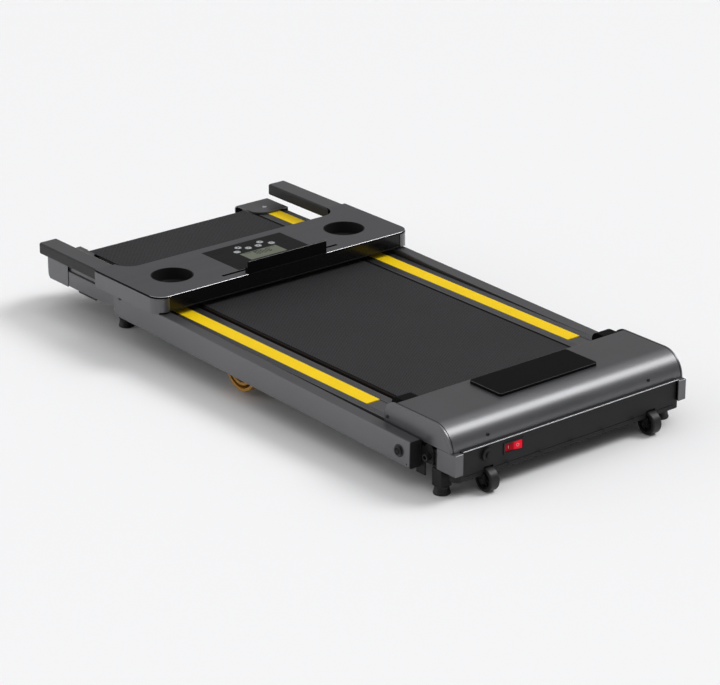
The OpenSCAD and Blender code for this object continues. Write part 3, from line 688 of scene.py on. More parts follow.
def add_turned(bm, part, turn, place):
    """Adds a part that is turned about the X axis and moved to its place."""
    bmesh.ops.rotate(part, verts=part.verts, cent=(0, 0, 0), matrix=Matrix.Rotation(turn, 3, "X"))
    bmesh.ops.translate(part, verts=part.verts, vec=place)
    mesh = bpy.data.meshes.new("part")
    part.to_mesh(mesh)
    part.free()
    bm.from_mesh(mesh)
    bpy.data.meshes.remove(mesh)


def soften(bm, width, angle=38.0, segments=2, where=None):
    """Bevels the edges that turn by more than an angle, and returns the new faces."""
    limit = math.radians(angle)
    turned = [e for e in bm.edges if len(e.link_faces) == 2 and e.calc_face_angle(0.0) > limit]
    made = bmesh.ops.bevel(
        bm,
        geom=[e for e in turned if where is None or where(e)],
        offset=width,
        offset_type="OFFSET",
        segments=segments,
        profile=0.5,
        affect="EDGES",
        clamp_overlap=True,
        material=-1,
    )
    return made["faces"]


def all_above(level):
    """A test for edges that lie wholly above a level."""
    return lambda edge: all(v.co.z > level for v in edge.verts)


def both_sides(bm):
    """Mirrors everything to the other side."""
    bmesh.ops.mirror(bm, geom=bm.verts[:] + bm.edges[:] + bm.faces[:], axis="X", merge_dist=-1.0)


def close_up(bm):
    """Points every face outwards."""
    bmesh.ops.recalc_face_normals(bm, faces=bm.faces)


def piece(name, bm, body, finishes, replaces=(), slot=None, smooth=32.0, recalc=True):
    """Makes an object from a bmesh, with its materials, body and record slot."""
    if recalc:
        close_up(bm)
    mesh = bpy.data.meshes.new(name)
    bm.to_mesh(mesh)
    bm.free()
    mesh.polygons.foreach_set("use_smooth", [True] * len(mesh.polygons))
    mesh.set_sharp_from_angle(angle=math.radians(smooth))
    for key in finishes:
        mesh.materials.append(finish(key))
    made = bpy.data.objects.new(name, mesh)
    bpy.context.scene.collection.objects.link(made)
    even = made.modifiers.new("Even shading", "WEIGHTED_NORMAL")
    even.keep_sharp = True
    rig.ride(made, body)
    if replaces:
        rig.replaces(made, *replaces)
    if slot:
        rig.slot(made, slot)
    return made


def softened(node, width, body, key, slot, segments=2, angle=38.0):
    """A piece that stands for a CAD node, with its edges rounded."""
    bm = bmesh.new()
    add_copy(bm, node)
    soften(bm, width, angle, segments)
    return piece(node + "_look", bm, body, [key], [node], slot, recalc=False)


def dress(node, key):
    """Gives a CAD node its material."""
    mesh = frame["nodes"][node].data
    mesh.materials.clear()
    mesh.materials.append(finish(key))


def add_screw(bm, place, axis, out, radius, height):
    """A pan head with a driver recess, standing out of a surface along an axis."""
    dome = [(0.35 + 0.65 * math.sin(t), 0.55 + 0.45 * math.cos(t)) for t in (0.5, 1.0, 1.57)]
    recess = [(1.0, 0.42), (0.35, 0.38), (0.3, 0.0)]
    outline = [(0.0, 0.0), (0.0, 1.0), (0.35, 1.0)] + dome + recess
    add_lathe(bm, [(out * height * d, radius * r) for d, r in outline], place, axis, 28)


def add_bolt_heads(node, face, outline):
    """A bmesh with a bolt head on both sides, on the CAD bolt's axis, from (out, radius) points."""
    mid = middle(node)
    bm = bmesh.new()
    for side in (-1, 1):
        add_lathe(bm, [(side * d, r) for d, r in outline], (side * face, mid.y, mid.z), "X", 40)
    return bm


# ---- Hood ----


def hood_front(bottom, inset, settings):
    """Outline of the hood's front in side view, from its lower edge to its flat top."""
    lo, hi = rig.box("hood")
    radius = settings.front_radius
    centre = (lo.y + radius, hi.z - radius)
    return [(lo.y + inset, bottom)] + arc(centre, radius - inset, 180, 90, 36)


def make_hood_shell(settings):
    """The bent shell, open at the rear over the belt, with its two ears, and dark sheets at its ends that paint the
    shade in the gap to the side covers.
    """
    lo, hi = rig.box("hood")
    rear = hi.y - settings.ear_length
    wall, lip, gap = settings.wall, settings.lip, settings.gap
    sill = high("walking_belt").z + 1.6 * MM
    outside = hood_front(lo.z, 0.0, settings)
    outside += arc((rear - lip, hi.z - lip), lip, 90, 0, 5) + [(rear, sill)]
    inside = [(rear - wall, sill), (rear - wall, hi.z - wall)]
    inside += hood_front(lo.z, wall, settings)[::-1]
    bm = bmesh.new()
    add_prism(bm, outside + inside, "X", lo.x + gap, hi.x - gap)
    close_up(bm)
    soften(bm, 0.7 * MM, 50.0)

    r = settings.ear_radius
    start = rear - 0.2 * MM
    ear = [(start, EAR_BASE), (hi.y, EAR_BASE)] + arc((hi.y - r, hi.z - r), r, 0, 90, 10)
    ear += [(start, hi.z)]
    ears = bmesh.new()
    for side in (-1, 1):
        add_prism(ears, ear, "X", side * EAR_IN, side * EAR_OUT)
    close_up(ears)
    soften(ears, 0.7 * MM, 50.0)
    # Painted shade: the ears take the deep black to stand for the shade that falls on them.
    piece("hood_ears", ears, "base", ["deep_black"], (), "black_plastic")
    piece("hood_shell", bm, "base", ["graphite_paint"], ["hood"], "graphite_metal")

    # Painted shade: black sheets inside the ends of the shell stand for the shade in the gap to the side covers.
    inset = 2.2 * MM
    shadow = hood_front(lo.z + inset, inset, settings)
    shadow += [(rear - inset, hi.z - inset), (rear - inset, sill + inset)]
    bm = bmesh.new()
    for side in (-1, 1):
        add_prism(bm, shadow, "X", side * (hi.x - 4.5 * MM), side * (hi.x + 0.2 * MM))
    piece("hood_side_seals", bm, "base", ["black_moulding"], (), "black_plastic")


def make_hood_covers(settings):
    """The two side covers, each with a tab that reaches under the shell."""
    lo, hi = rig.box("hood_covers")
    inner = hi.x - 3 * MM
    r = settings.cover_radius
    outline = hood_front(lo.z, 0.0, settings) + arc((hi.y - r, hi.z - r), r, 90, 0, 14)
    outline += [(hi.y, lo.z)]
    tab = rounded(lo.y + 30 * MM, lo.y + 80 * MM, lo.z, lo.z + 2 * MM, 0.5 * MM)
    bm = bmesh.new()
    add_prism(bm, outline, "X", inner, hi.x)
    close_up(bm)
    soften(bm, 0.8 * MM, 50.0, 3)
    add_prism(bm, tab, "X", inner - 10 * MM, inner)
    both_sides(bm)
    piece("hood_cover_plates", bm, "base", ["graphite_paint"], ["hood_covers"], "graphite_metal")


def make_hood_badge():
    """The raised black panel, with a lighter bevel round its top: a painted highlight where the edge catches light."""
    lo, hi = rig.box("hood_panel")
    bm = bmesh.new()
    add_prism(bm, rounded(lo.x, hi.x, lo.y, hi.y, 5 * MM), "Z", lo.z, hi.z)
    close_up(bm)
    # Painted highlight: the top bevel takes the lighter graphite paint.
    for face in soften(bm, 0.9 * MM, 50.0, 2, all_above(hi.z - 0.1 * MM)):
        if face.normal.z < 0.9:
            face.material_index = 1
    finishes = ["deep_black", "graphite_paint"]
    piece("hood_badge_plinth", bm, "base", finishes, ["hood_panel"], "gloss_black")


def make_hood_screws():
    """The screws in the hood's front and side covers, and those in the rear caps."""
    hood, covers, caps = low("hood"), high("hood_covers"), high("rear_caps")
    cap_y = high("cover_screws").y - 5 * MM
    bm, cap_bm = bmesh.new(), bmesh.new()
    for side in (-1, 1):
        front = bmesh.new()
        add_screw(front, (0.0, 0.0, 0.0), "Z", 1, 3.4 * MM, 1.8 * MM)
        place = (side * FRONT_SCREW_X, hood.y + 2.6 * MM, FRONT_SCREW_Z)
        add_turned(bm, front, math.radians(72), place)
        place = (side * covers.x, covers.y - 9 * MM, 103 * MM)
        add_screw(bm, place, "X", side, 3.2 * MM, 1.6 * MM)
        add_screw(cap_bm, (side * CAP_SCREW_X, cap_y, caps.z), "Z", 1, 5 * MM, 2.2 * MM)
    piece("hood_screws", bm, "base", ["black_oxide"], (), "steel")
    piece("cap_screws", cap_bm, "base", ["zinc_steel"], ["cover_screws"], "steel")


# ---- Base front ----


def make_seam_trim():
    """Bright lip along the top of the front panel and the corner blocks: a painted highlight along the step of the
    seam.
    """
    lo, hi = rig.box("base_pan")
    corner_lo, corner_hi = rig.box("front_corners")
    half = corner_hi.x - 18.9 * MM
    y, z = lo.y, hi.z
    panel = rounded(y - 0.5 * MM, y + 1.5 * MM, z - 0.9 * MM, z + 0.5 * MM, 0.4 * MM, 3)
    y, z = corner_lo.y, corner_hi.z
    corner = rounded(y - 0.3 * MM, y + 1.2 * MM, z - 0.8 * MM, z + 0.2 * MM, 0.3 * MM, 3)
    bm = bmesh.new()
    add_prism(bm, panel, "X", -half, half)
    for side in (-1, 1):
        add_prism(bm, corner, "X", side * (half + 1.4 * MM), side * (corner_hi.x - 1.2 * MM))
    # Painted highlight: the lip takes the bright metal.
    piece("front_seam_trim", bm, "base", ["polished_edge"], (), "steel")


def make_pan_clips():
    """Small clips along the lower step of the front panel."""
    front = low("base_pan").y
    bm = bmesh.new()
    for x in (-150, -75, 0, 75, 150):
        clip = rounded((x - 3) * MM, (x + 3) * MM, 38.5 * MM, 45 * MM, 0.8 * MM, 3)
        add_prism(bm, clip, "Y", front - 0.8 * MM, front + 0.5 * MM)
    soften(bm, 0.25 * MM, 50.0)
    piece("pan_clips", bm, "base", ["black_moulding"], (), "black_plastic")


def make_rocker_marks():
    """The two generic on and off marks, on the faces of the rocker."""
    face, thick = -8.0 * MM, 0.1 * MM
    ring = [(-thick, 2.2 * MM), (thick, 2.2 * MM), (thick, 3.0 * MM), (-thick, 3.0 * MM)]
    bm = bmesh.new()
    add_lathe(bm, ring + ring[:1], (10 * MM, face, 0.0), "Y", 24)
    bar = rounded(-10.4 * MM, -9.6 * MM, -3 * MM, 3 * MM, 0.3 * MM, 2)
    add_prism(bm, bar, "Y", face, face + 2 * thick)
    lean = Matrix.Rotation(math.radians(-6), 3, "Z")
    bmesh.ops.rotate(bm, verts=bm.verts, cent=(0, 0, 0), matrix=lean)
    pivot = next(j for j in frame["joints"] if j["name"] == "power_rocker")["pos_m"]
    bmesh.ops.translate(bm, verts=bm.verts, vec=(pivot[0], pivot[1], middle("rocker").z))
    piece("rocker_marks", bm, "rocker_body", ["pale_print"], (), "key_print")


# ---- Deck ----


def make_belt():
    """The belt as one closed band round both rollers, with its run as the UV map."""
    lo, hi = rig.box("walking_belt")
    thick = 1.6 * MM
    r = (hi.z - lo.z) / 2
    zc = (hi.z + lo.z) / 2
    front, rear = lo.y + r, hi.y - r
    straight = rear - front

    def band(radius):
        return arc((rear, zc), radius, 90, -90, 20) + arc((front, zc), radius, 270, 90, 20)

    def run_at(co):
        if co.y > rear and abs(co.y - rear) > 1e-7:
            return straight + r * (math.pi / 2 - math.atan2(co.z - zc, co.y - rear))
        if co.y < front and abs(co.y - front) > 1e-7:
            turn = math.atan2(co.z - zc, co.y - front) % math.tau
            return 2 * straight + math.pi * r + r * (1.5 * math.pi - turn)
        return co.y - front if co.z > zc else straight + math.pi * r + rear - co.y

    bm = bmesh.new()
    rings = []
    for radius in (r, r - thick):
        verts = [bm.verts.new((lo.x, y, z)) for y, z in band(radius)]
        rings.append([bm.edges.new((verts[i - 1], verts[i])) for i in range(len(verts))])
    ring = bmesh.ops.bridge_loops(bm, edges=rings[0] + rings[1])["faces"]
    made = bmesh.ops.extrude_face_region(bm, geom=ring)
    moved = [g for g in made["geom"] if isinstance(g, bmesh.types.BMVert)]
    bmesh.ops.translate(bm, verts=moved, vec=(hi.x - lo.x, 0.0, 0.0))
    close_up(bm)
    soften(bm, 0.4 * MM, 60.0)
    total = 2 * straight + math.tau * r
    uv = bm.loops.layers.uv.new("Run")
    for face in bm.faces:
        runs = [run_at(loop.vert.co) for loop in face.loops]
        wrapped = max(runs) - min(runs) > total / 2
        for loop, run in zip(face.loops, runs):
            loop[uv].uv = (loop.vert.co.x, run + total if wrapped and run < total / 2 else run)
    piece("belt_loop", bm, "base", ["belt_fabric"], ["walking_belt"], "belt")


def rail_outline(ribs):
    """Section of the right foot rail: grooved top, step beside the upright and skirt."""
    lo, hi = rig.box("foot_rails")
    strip_out = high("grip_strips").x
    strip_in = strip_out - STRIP_WIDE
    top, skin, bevel, edge = hi.z, 2.5 * MM, 0.6 * MM, 0.9 * MM
    groove = [(0.0, 0.0), (0.35 * MM, 0.9 * MM), (1.15 * MM, 0.9 * MM), (1.5 * MM, 0.0)]

    def grooves(start):
        return [(start + i * 3.2 * MM + x, top - deep) for i in range(ribs) for x, deep in groove]

    points = [(RAIL_IN, top - 12 * MM), (RAIL_IN, top - bevel), (RAIL_IN + bevel, top)]
    points += grooves(RAIL_IN + 3.4 * MM)
    points += [(strip_in - 0.4 * MM, top), (strip_in - 0.4 * MM, top - 1 * MM)]
    points += [(strip_out + 0.4 * MM, top - 1 * MM), (strip_out + 0.4 * MM, top)]
    points += grooves(strip_out + 2.4 * MM)
    points += arc((RAIL_OUT - edge, top - edge), edge, 90, 0, 5)
    step = top - 9.6 * MM
    points += [(RAIL_OUT, step), (hi.x - edge, step), (hi.x, step - edge), (hi.x, lo.z)]
    points += [(hi.x - skin, lo.z), (hi.x - skin, step - skin), (RAIL_OUT - skin, step - skin)]
    points += [(RAIL_OUT - skin, top - 4 * MM), (RAIL_IN + skin, top - 4 * MM)]
    return points + [(RAIL_IN + skin, top - 12 * MM)]


def make_foot_rails():
    """The two foot rails, plain where they run under the hood."""
    lo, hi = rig.box("foot_rails")
    start = high("hood_covers").y + 0.5 * MM
    end = rounded(RAIL_IN, RAIL_OUT, hi.z - 4 * MM, hi.z - 0.4 * MM, 0.4 * MM, 2)
    bm = bmesh.new()
    add_prism(bm, rail_outline(4), "Y", start, hi.y)
    add_prism(bm, end, "Y", lo.y, start)
    both_sides(bm)
    piece("foot_rail_extrusions", bm, "base", ["graphite_paint"], ["foot_rails"], "graphite_metal")


def make_grip_strips(settings):
    """The two yellow strips, ridged along their length."""
    lo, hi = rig.box("grip_strips")
    pitch = STRIP_WIDE / settings.strip_ribs
    valley = hi.z - settings.strip_depth
    points = [(hi.x - STRIP_WIDE, lo.z)]
    for i in range(settings.strip_ribs):
        x = hi.x - STRIP_WIDE + i * pitch
        points += [(x, valley), (x + pitch * 0.2, hi.z), (x + pitch * 0.8, hi.z)]
    points += [(hi.x, valley), (hi.x, lo.z)]
    bm = bmesh.new()
    add_prism(bm, points, "Y", lo.y, hi.y)
    both_sides(bm)
    piece("grip_strip_pair", bm, "base", ["yellow_strip"], ["grip_strips"], "yellow_strip")


# ---- Uprights ----


def make_upright_bolts():
    """Pivot bolts: domed heads with a hex socket and a washer."""
    face = high("uprights").x
    out = high("pivot_bolts").x / MM - face / MM
    outline = [
        (0.4, 0.0), (0.4, 11.5), (1.2, 11.5), (1.6, 10.9), (1.6, 8.2), (out - 1.4, 8.2),
        (out - 0.5, 7.4), (out, 6.0), (out, 3.6), (out - 2.2, 3.4), (out - 2.4, 0.0),
    ]
    bm = add_bolt_heads("pivot_bolts", face, scaled(outline))
    piece("pivot_bolt_heads", bm, "base", ["black_oxide"], (), "steel")


def make_anchor_bolts():
    """Socket bolts of the hinge plates: a low flange and a deep socket."""
    face = high("hinge_plates").x
    out = high("anchor_bolts").x / MM - face / MM
    outline = [
        (0.0, 0.0), (0.0, 9.0), (1.2, 9.0), (1.6, 8.5), (1.6, 6.5), (out - 0.7, 6.5),
        (out, 5.8), (out, 3.9), (out - 5.0, 3.7), (out - 5.4, 0.0),
    ]
    bm = add_bolt_heads("anchor_bolts", face, scaled(outline))
    piece("anchor_bolt_heads", bm, "base", ["black_oxide"], ["anchor_bolts"], "steel")


# ---- Console ----


def make_console_plate():
    """The top plate: a bright bevel round its front that paints a highlight, and deep black cut sides that paint the
    shade under its edges and in its holes and slot.
    """
    bm = bmesh.new()
    add_copy(bm, "console_top")
    lo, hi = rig.box("console_top")
    ledge = high("tablet_ledge").x
    front, side = lo.y + 0.2 * MM, hi.x - 1.2 * MM
    polished = lo.y + 30 * MM
    corner_x, corner_y = hi.x - 27 * MM, lo.y + 27 * MM

    def outer(point):
        corner = Vector((abs(point.x) - corner_x, point.y - corner_y))
        round_front = corner.x > 0 and corner.y < 0 and corner.length > 25.5 * MM
        return point.y < front or abs(point.x) > side or round_front

    def outer_top(edge):
        return all(v.co.z > hi.z - 0.1 * MM and outer(v.co) for v in edge.verts)

    # Painted highlight: the front bevel takes the bright metal.
    for face in soften(bm, 1.1 * MM, 50.0, 3, outer_top):
        if face.calc_center_median().y < polished:
            face.material_index = 1
    for x in (ledge, -ledge):
        whole = bm.verts[:] + bm.edges[:] + bm.faces[:]
        bmesh.ops.bisect_plane(bm, geom=whole, plane_co=(x, 0, 0), plane_no=(1, 0, 0))
    # Painted shade: the upright cut faces, and the bevel hidden behind the ledge, take the deep black.
    for face in bm.faces:
        hidden = face.material_index == 1 and abs(face.calc_center_median().x) < ledge
        if abs(face.normal.z) < 0.3 or hidden:
            face.material_index = 2
    finishes = ["brushed_plate", "polished_edge", "deep_black"]
    top = ["console_top"]
    piece("console_plate", bm, "console", finishes, top, "graphite_metal", recalc=False)


def make_cup_wells():
    """Drink wells: a thin rolled rim, straight wall, round foot and a ribbed floor."""
    lo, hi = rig.box("cup_liners")
    r = (hi.y - lo.y) / 2
    wall, foot = 1.5 * MM, 5 * MM
    inner, floor = r - wall, lo.z + wall
    outline = [(lo.z, 0.0), (lo.z, r), (hi.z - 0.3 * MM, r), (hi.z, r - 0.3 * MM)]
    outline += [(hi.z, inner + 0.4 * MM), (hi.z - 0.5 * MM, inner)]
    outline += [(z, rr) for rr, z in arc((inner - foot, floor + foot), foot, 0, -90, 8)]
    for i in range(5):
        at = inner - foot - (i + 0.4) * 6 * MM
        top = floor + 0.7 * MM
        outline += [(floor, at), (top, at - 0.5 * MM), (top, at - 1.7 * MM), (floor, at - 2.2 * MM)]
    outline += [(floor, 0.0)]
    bm = bmesh.new()
    for side in (-1, 1):
        add_lathe(bm, outline, (side * (hi.x - r), middle("cup_liners").y, 0.0), "Z", 72)
    piece("cup_wells", bm, "console", ["black_moulding"], ["cup_liners"], "black_plastic")


# Middle of each bar of a digit, in half widths and half heights.
BARS = {
    "top": (0, 1), "mid": (0, 0), "low": (0, -1),
    "ul": (-1, 0.5), "ur": (1, 0.5), "ll": (-1, -0.5), "lr": (1, -0.5),
}

DIGITS = {
    "0": ("top", "low", "ul", "ur", "ll", "lr"),
    "2": ("top", "mid", "low", "ur", "ll"),
    "5": ("top", "mid", "low", "ul", "lr"),
    "8": ("top", "mid", "low", "ul", "ur", "ll", "lr"),
}


def add_digits(bm, text, x, y, pitch, wide, tall, z0, z1):
    """Seven-segment digits for a reader behind the console, from a place towards -X."""
    t = wide * 0.24
    for i, digit in enumerate(text):
        for name in DIGITS[digit]:
            across, up = BARS[name]
            u, v = x - pitch * i - across * wide / 2, y - up * tall / 2
            half_u, half_v = (t / 2, tall / 4 - t * 0.6) if across else (wide / 2 - t * 0.6, t / 2)
            bar = rounded(u - half_u, u + half_u, v - half_v, v + half_v, t * 0.3, 2)
            add_prism(bm, bar, "Z", z0, z1)


def make_display():
    """The display: a film with large digits, a row of small digits and level bars."""
    lo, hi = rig.box("lcd_panel")
    bm = bmesh.new()
    add_prism(bm, rounded(lo.x, hi.x, lo.y, hi.y, 1.5 * MM), "Z", lo.z, hi.z)
    piece("display_film", bm, "console", ["lcd_film"], ["lcd_panel"], "lcd")
    z0, z1 = hi.z, hi.z + 0.05 * MM
    cx, row = middle("lcd_panel").x, hi.y - 4 * MM
    small = (6 * MM, 3.6 * MM, 4.6 * MM, z0, z1)
    bm = bmesh.new()
    add_digits(bm, "888", cx + 16 * MM, row - 10.5 * MM, 13 * MM, 9 * MM, 13 * MM, z0, z1)
    add_digits(bm, "2050", cx + 36 * MM, row, *small)
    add_digits(bm, "805", cx - 22 * MM, row, *small)
    for i in range(8):
        left = cx + (4 - 2.6 * i) * MM
        bar = rounded(left, left + 1.8 * MM, row - 1.5 * MM, row + i * 0.4 * MM, 0.2 * MM, 2)
        add_prism(bm, bar, "Z", z0, z1)
    piece("display_digits", bm, "console", ["lcd_ink"], (), "lcd")


def make_tablet_ledge():
    """The ledge that holds a tablet: a thin fin on a thicker foot, with a painted highlight along its top edge."""
    lo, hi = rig.box("tablet_ledge")
    bm = bmesh.new()
    add_prism(bm, rounded(lo.x, hi.x, lo.z, hi.z, 2.5 * MM), "Y", lo.y, lo.y + 3 * MM)
    close_up(bm)
    # Painted highlight: the bevel along the top takes the bright metal.
    for face in soften(bm, 0.6 * MM, 60.0, 2):
        if face.calc_center_median().z > hi.z - 1 * MM:
            face.material_index = 1
    back = lo.y + 2.5 * MM
    foot = [(back, lo.z), (lo.y + 11 * MM, lo.z)]
    foot += arc((lo.y + 8 * MM, lo.z + 8.5 * MM), 3 * MM, 0, 90, 5) + [(back, lo.z + 11.5 * MM)]
    add_prism(bm, foot, "X", lo.x + 0.6 * MM, hi.x - 0.6 * MM)
    finishes = ["deep_black", "polished_edge"]
    piece("tablet_fin", bm, "console", finishes, ["tablet_ledge"], "black_plastic")


# Signs of the touch keys from left to right, as outlines in millimetres round a key's middle.
BAR_ACROSS = rounded(-3, 3, -0.6, 0.6, 0.3, 2)
BAR_UP = rounded(-0.6, 0.6, -3, 3, 0.3, 2)
SIGNS = (
    [BAR_ACROSS],
    [rounded(-2.4, 2.4, -2.4, 2.4, 0.4, 2)],
    [[(-2.8, -1.6), (2.8, -1.6), (0, 2.6)]],
    [[(-2.8, 1.6), (2.8, 1.6), (0, -2.6)]],
    [[(2.4, -2.8), (2.4, 2.8), (-3, 0)]],
    [BAR_ACROSS, BAR_UP],
)


def island_centres(node):
    """Middles, seen from above, of the separate islands of a CAD node, from left to right."""
    bm = bmesh.new()
    bm.from_mesh(frame["nodes"][node].data)
    bmesh.ops.remove_doubles(bm, verts=bm.verts, dist=1e-6)
    left, centres = set(bm.verts), []
    while left:
        island = [left.pop()]
        for vert in island:
            near = {edge.other_vert(vert) for edge in vert.link_edges} & left
            left -= near
            island += near
        xs, ys = [v.co.x for v in island], [v.co.y for v in island]
        centres.append(((min(xs) + max(xs)) / 2, (min(ys) + max(ys)) / 2))
    bm.free()
    return sorted(centres)


def make_touch_keys():
    """Six touch marks, each a pale disc with a ring round a generic sign."""
    base = low("touch_icons").z
    z0, z1 = base + 0.06 * MM, base + 0.12 * MM
    disc = [(base, 0.0), (base, 6.9 * MM), (z0, 6.9 * MM), (z0, 0.0)]
    ring = [(z0, 5.2 * MM), (z1, 5.2 * MM), (z1, 5.7 * MM), (z0, 5.7 * MM), (z0, 5.2 * MM)]
    discs, marks = bmesh.new(), bmesh.new()
    for (x, y), signs in zip(island_centres("touch_icons"), SIGNS):
        add_lathe(discs, disc, (x, y, 0.0), "Z", 40)
        add_lathe(marks, ring, (x, y, 0.0), "Z", 40)
        for i, sign in enumerate(signs):
            outline = [(x + u, y + v) for u, v in scaled(sign)]
            add_prism(marks, outline, "Z", z0, z1 + i * 0.01 * MM)
    piece("touch_discs", discs, "console", ["pale_print"], ["touch_icons"], "key_print")
    piece("touch_marks", marks, "console", ["lcd_ink"], (), "key_print")


def make_handlebars(edges):
    """Handlebars: rounded bars with a soft end; their upward faces take the lighter graphite paint and the rest the
    dark grip skin, a painted light on the tops.
    """
    lo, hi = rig.box("handlebar_grips")
    bm = bmesh.new()
    for x0, x1 in ((GRIP_IN, hi.x), (-hi.x, -GRIP_IN)):
        add_prism(bm, rounded(x0, x1, lo.z, hi.z, edges.grip, 6), "Y", lo.y, hi.y)
    close_up(bm)
    soften(bm, 3.0 * MM, 60.0, 4, lambda e: all(v.co.y > hi.y - 1 * MM for v in e.verts))
    # Painted light: faces that point up take the lighter graphite paint.
    for face in bm.faces:
        if face.normal.z > 0.8:
            face.material_index = 1
    finishes = ["grip_foam", "graphite_paint"]
    piece("handlebar_skins", bm, "console", finishes, ["handlebar_grips"], "graphite_metal")


# ---- Wheels and feet ----


def make_wheel(side):
    """A transport wheel: smooth tyre, dished hub with ribs."""
    name = "left" if side < 0 else "right"
    lo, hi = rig.box("wheel_tyre_" + name)
    mid = middle("wheel_tyre_" + name)
    r, half = (hi.z - lo.z) / 2, (hi.x - lo.x) / 2
    seat, edge = r - 6 * MM, 2.6 * MM
    tread = [(-half, seat)] + arc((edge - half, r - edge), edge, 180, 90, 6)
    tread += arc((half - edge, r - edge), edge, 90, 0, 6) + [(half, seat), (-half, seat)]
    bm = bmesh.new()
    add_lathe(bm, tread, mid, "X", 64)
    tyre = "wheel_tyre_" + name
    piece("tyre_" + name, bm, "wheel_" + name, ["soft_rubber"], [tyre], "rubber")

    bore, outer = 4.05, seat / MM
    dish = [(-7.5, bore), (-7.5, 7.0), (-3.5, 7.4), (-3.5, 13.0), (-7.5, 13.6), (-7.5, outer)]
    dish += [(-d, rr) for d, rr in reversed(dish)] + dish[:1]
    rib_outline = rounded(6.6 * MM, 13.6 * MM, -0.8 * MM, 0.8 * MM, 0.3 * MM, 2)
    bm = bmesh.new()
    add_lathe(bm, scaled(dish), mid, "X", 64)
    for i in range(6):
        rib = bmesh.new()
        add_prism(rib, rib_outline, "X", -6.6 * MM, 6.6 * MM)
        add_turned(bm, rib, math.tau * i / 6, mid)
    hub = "wheel_hub_" + name
    piece("hub_" + name, bm, "wheel_" + name, ["black_moulding"], [hub], "black_plastic")


def make_foot_pads():
    """Ribbed rubber pads under the four feet."""
    lo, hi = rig.box("foot_pads")
    r, tall = 15.5, (hi.z - lo.z) / MM
    outline = [(0.0, 0.0), (0.0, r - 1.2), (0.5, r - 0.4), (1.4, r), (3.6, r), (4.4, r - 0.5)]
    for i in range(3):
        z, at = 5.4 + i * 2.4, r - 0.9 - i * 0.5
        outline += [(z, at), (z + 0.5, at - 0.5), (z + 1.0, at - 0.5), (z + 1.5, at - 0.2)]
    outline += [(tall, r - 2.7), (tall, 0.0)]
    bm = bmesh.new()
    for x, y in ((FRONT_FOOT_X, lo.y + r * MM), (REAR_FOOT_X, hi.y - r * MM)):
        for side in (-1, 1):
            add_lathe(bm, scaled(outline), (side * x, y, lo.z), "Z", 48)
    piece("ribbed_pads", bm, "base", ["soft_rubber"], ["foot_pads"], "rubber")


# ---- Operators ----


class TREADMILL_OT_hood(bpy.types.Operator):
    """Makes the motor hood, its side covers, raised panel and screws"""

    bl_idname = "treadmill.hood"
    bl_label = "Hood"

    def execute(self, context):
        settings = context.scene.treadmill_hood
        make_hood_shell(settings)
        make_hood_covers(settings)
        make_hood_badge()
        make_hood_screws()
        softened("rail_end_blocks", 1.2 * MM, "base", "black_moulding", "black_plastic", 3)
        return {"FINISHED"}


class TREADMILL_OT_front(bpy.types.Operator):
    """Makes the front panel, corners, switch and reset button"""

    bl_idname = "treadmill.front"
    bl_label = "Front"

    def execute(self, context):
        edges = context.scene.treadmill_edges
        softened("base_pan", edges.sheet, "base", "black_powder", "dark_metal")
        softened("front_corners", edges.moulded, "base", "graphite_paint", "graphite_metal")
        make_seam_trim()
        make_pan_clips()
        softened("rocker_bezel", 0.4 * MM, "base", "black_moulding", "black_plastic")
        softened("rocker", 0.8 * MM, "rocker_body", "red_lens", "red_switch", 3)
        make_rocker_marks()
        black = ("black_moulding", "black_plastic")
        softened("breaker_body", 0.8 * MM, "base", *black, 3, 60.0)
        softened("breaker_button", 0.5 * MM, "reset_button", *black, 3, 60.0)
        return {"FINISHED"}


class TREADMILL_OT_deck(bpy.types.Operator):
    """Makes the belt, foot rails, grip strips and rear caps"""

    bl_idname = "treadmill.deck"
    bl_label = "Deck"

    def execute(self, context):
        settings = context.scene.treadmill_deck
        make_belt()
        make_foot_rails()
        make_grip_strips(settings)
        softened("rear_caps", 0.7 * MM, "base", "graphite_paint", "black_plastic", 2, 50.0)
        softened("frame_rails", 0.5 * MM, "base", "black_powder", "dark_metal", 2, 60.0)
        # Painted shade: the hinge plates take the black powder coat in place of their graphite paint, so the gap
        # beside the rail reads dark.
        softened("hinge_plates", 0.6 * MM, "base", "black_powder", "graphite_metal")
        softened("foot_blocks", 1.0 * MM, "base", "black_moulding", "black_plastic")
        softened("bow_cushions", 1.5 * MM, "base", "orange_elastomer", "orange_rubber", 3, 50.0)
        return {"FINISHED"}


class TREADMILL_OT_uprights(bpy.types.Operator):
    """Makes the two uprights, their plugs and bolts"""

    bl_idname = "treadmill.uprights"
    bl_label = "Uprights"

    def execute(self, context):
        body = "upright_frame"
        softened("uprights", 0.4 * MM, body, "graphite_paint", "graphite_metal", 2, 60.0)
        softened("upright_plugs", 0.8 * MM, body, "black_moulding", "black_plastic", 2, 50.0)
        make_upright_bolts()
        make_anchor_bolts()
        return {"FINISHED"}


class TREADMILL_OT_console(bpy.types.Operator):
    """Makes the console, its display, cup wells and handlebars"""

    bl_idname = "treadmill.console"
    bl_label = "Console"

    def execute(self, context):
        make_console_plate()
        softened("console_body", 0.5 * MM, "console", "black_gloss", "gloss_black", 2, 50.0)
        softened("console_bottom", 0.5 * MM, "console", "black_powder", "dark_metal", 2, 50.0)
        softened("console_sides", 0.9 * MM, "console", "graphite_paint", "graphite_metal", 3, 50.0)
        softened("display_glass", 0.3 * MM, "console", "panel_glass", "screen_glass")
        make_tablet_ledge()
        make_cup_wells()
        make_display()
        make_touch_keys()
        make_handlebars(context.scene.treadmill_edges)
        return {"FINISHED"}


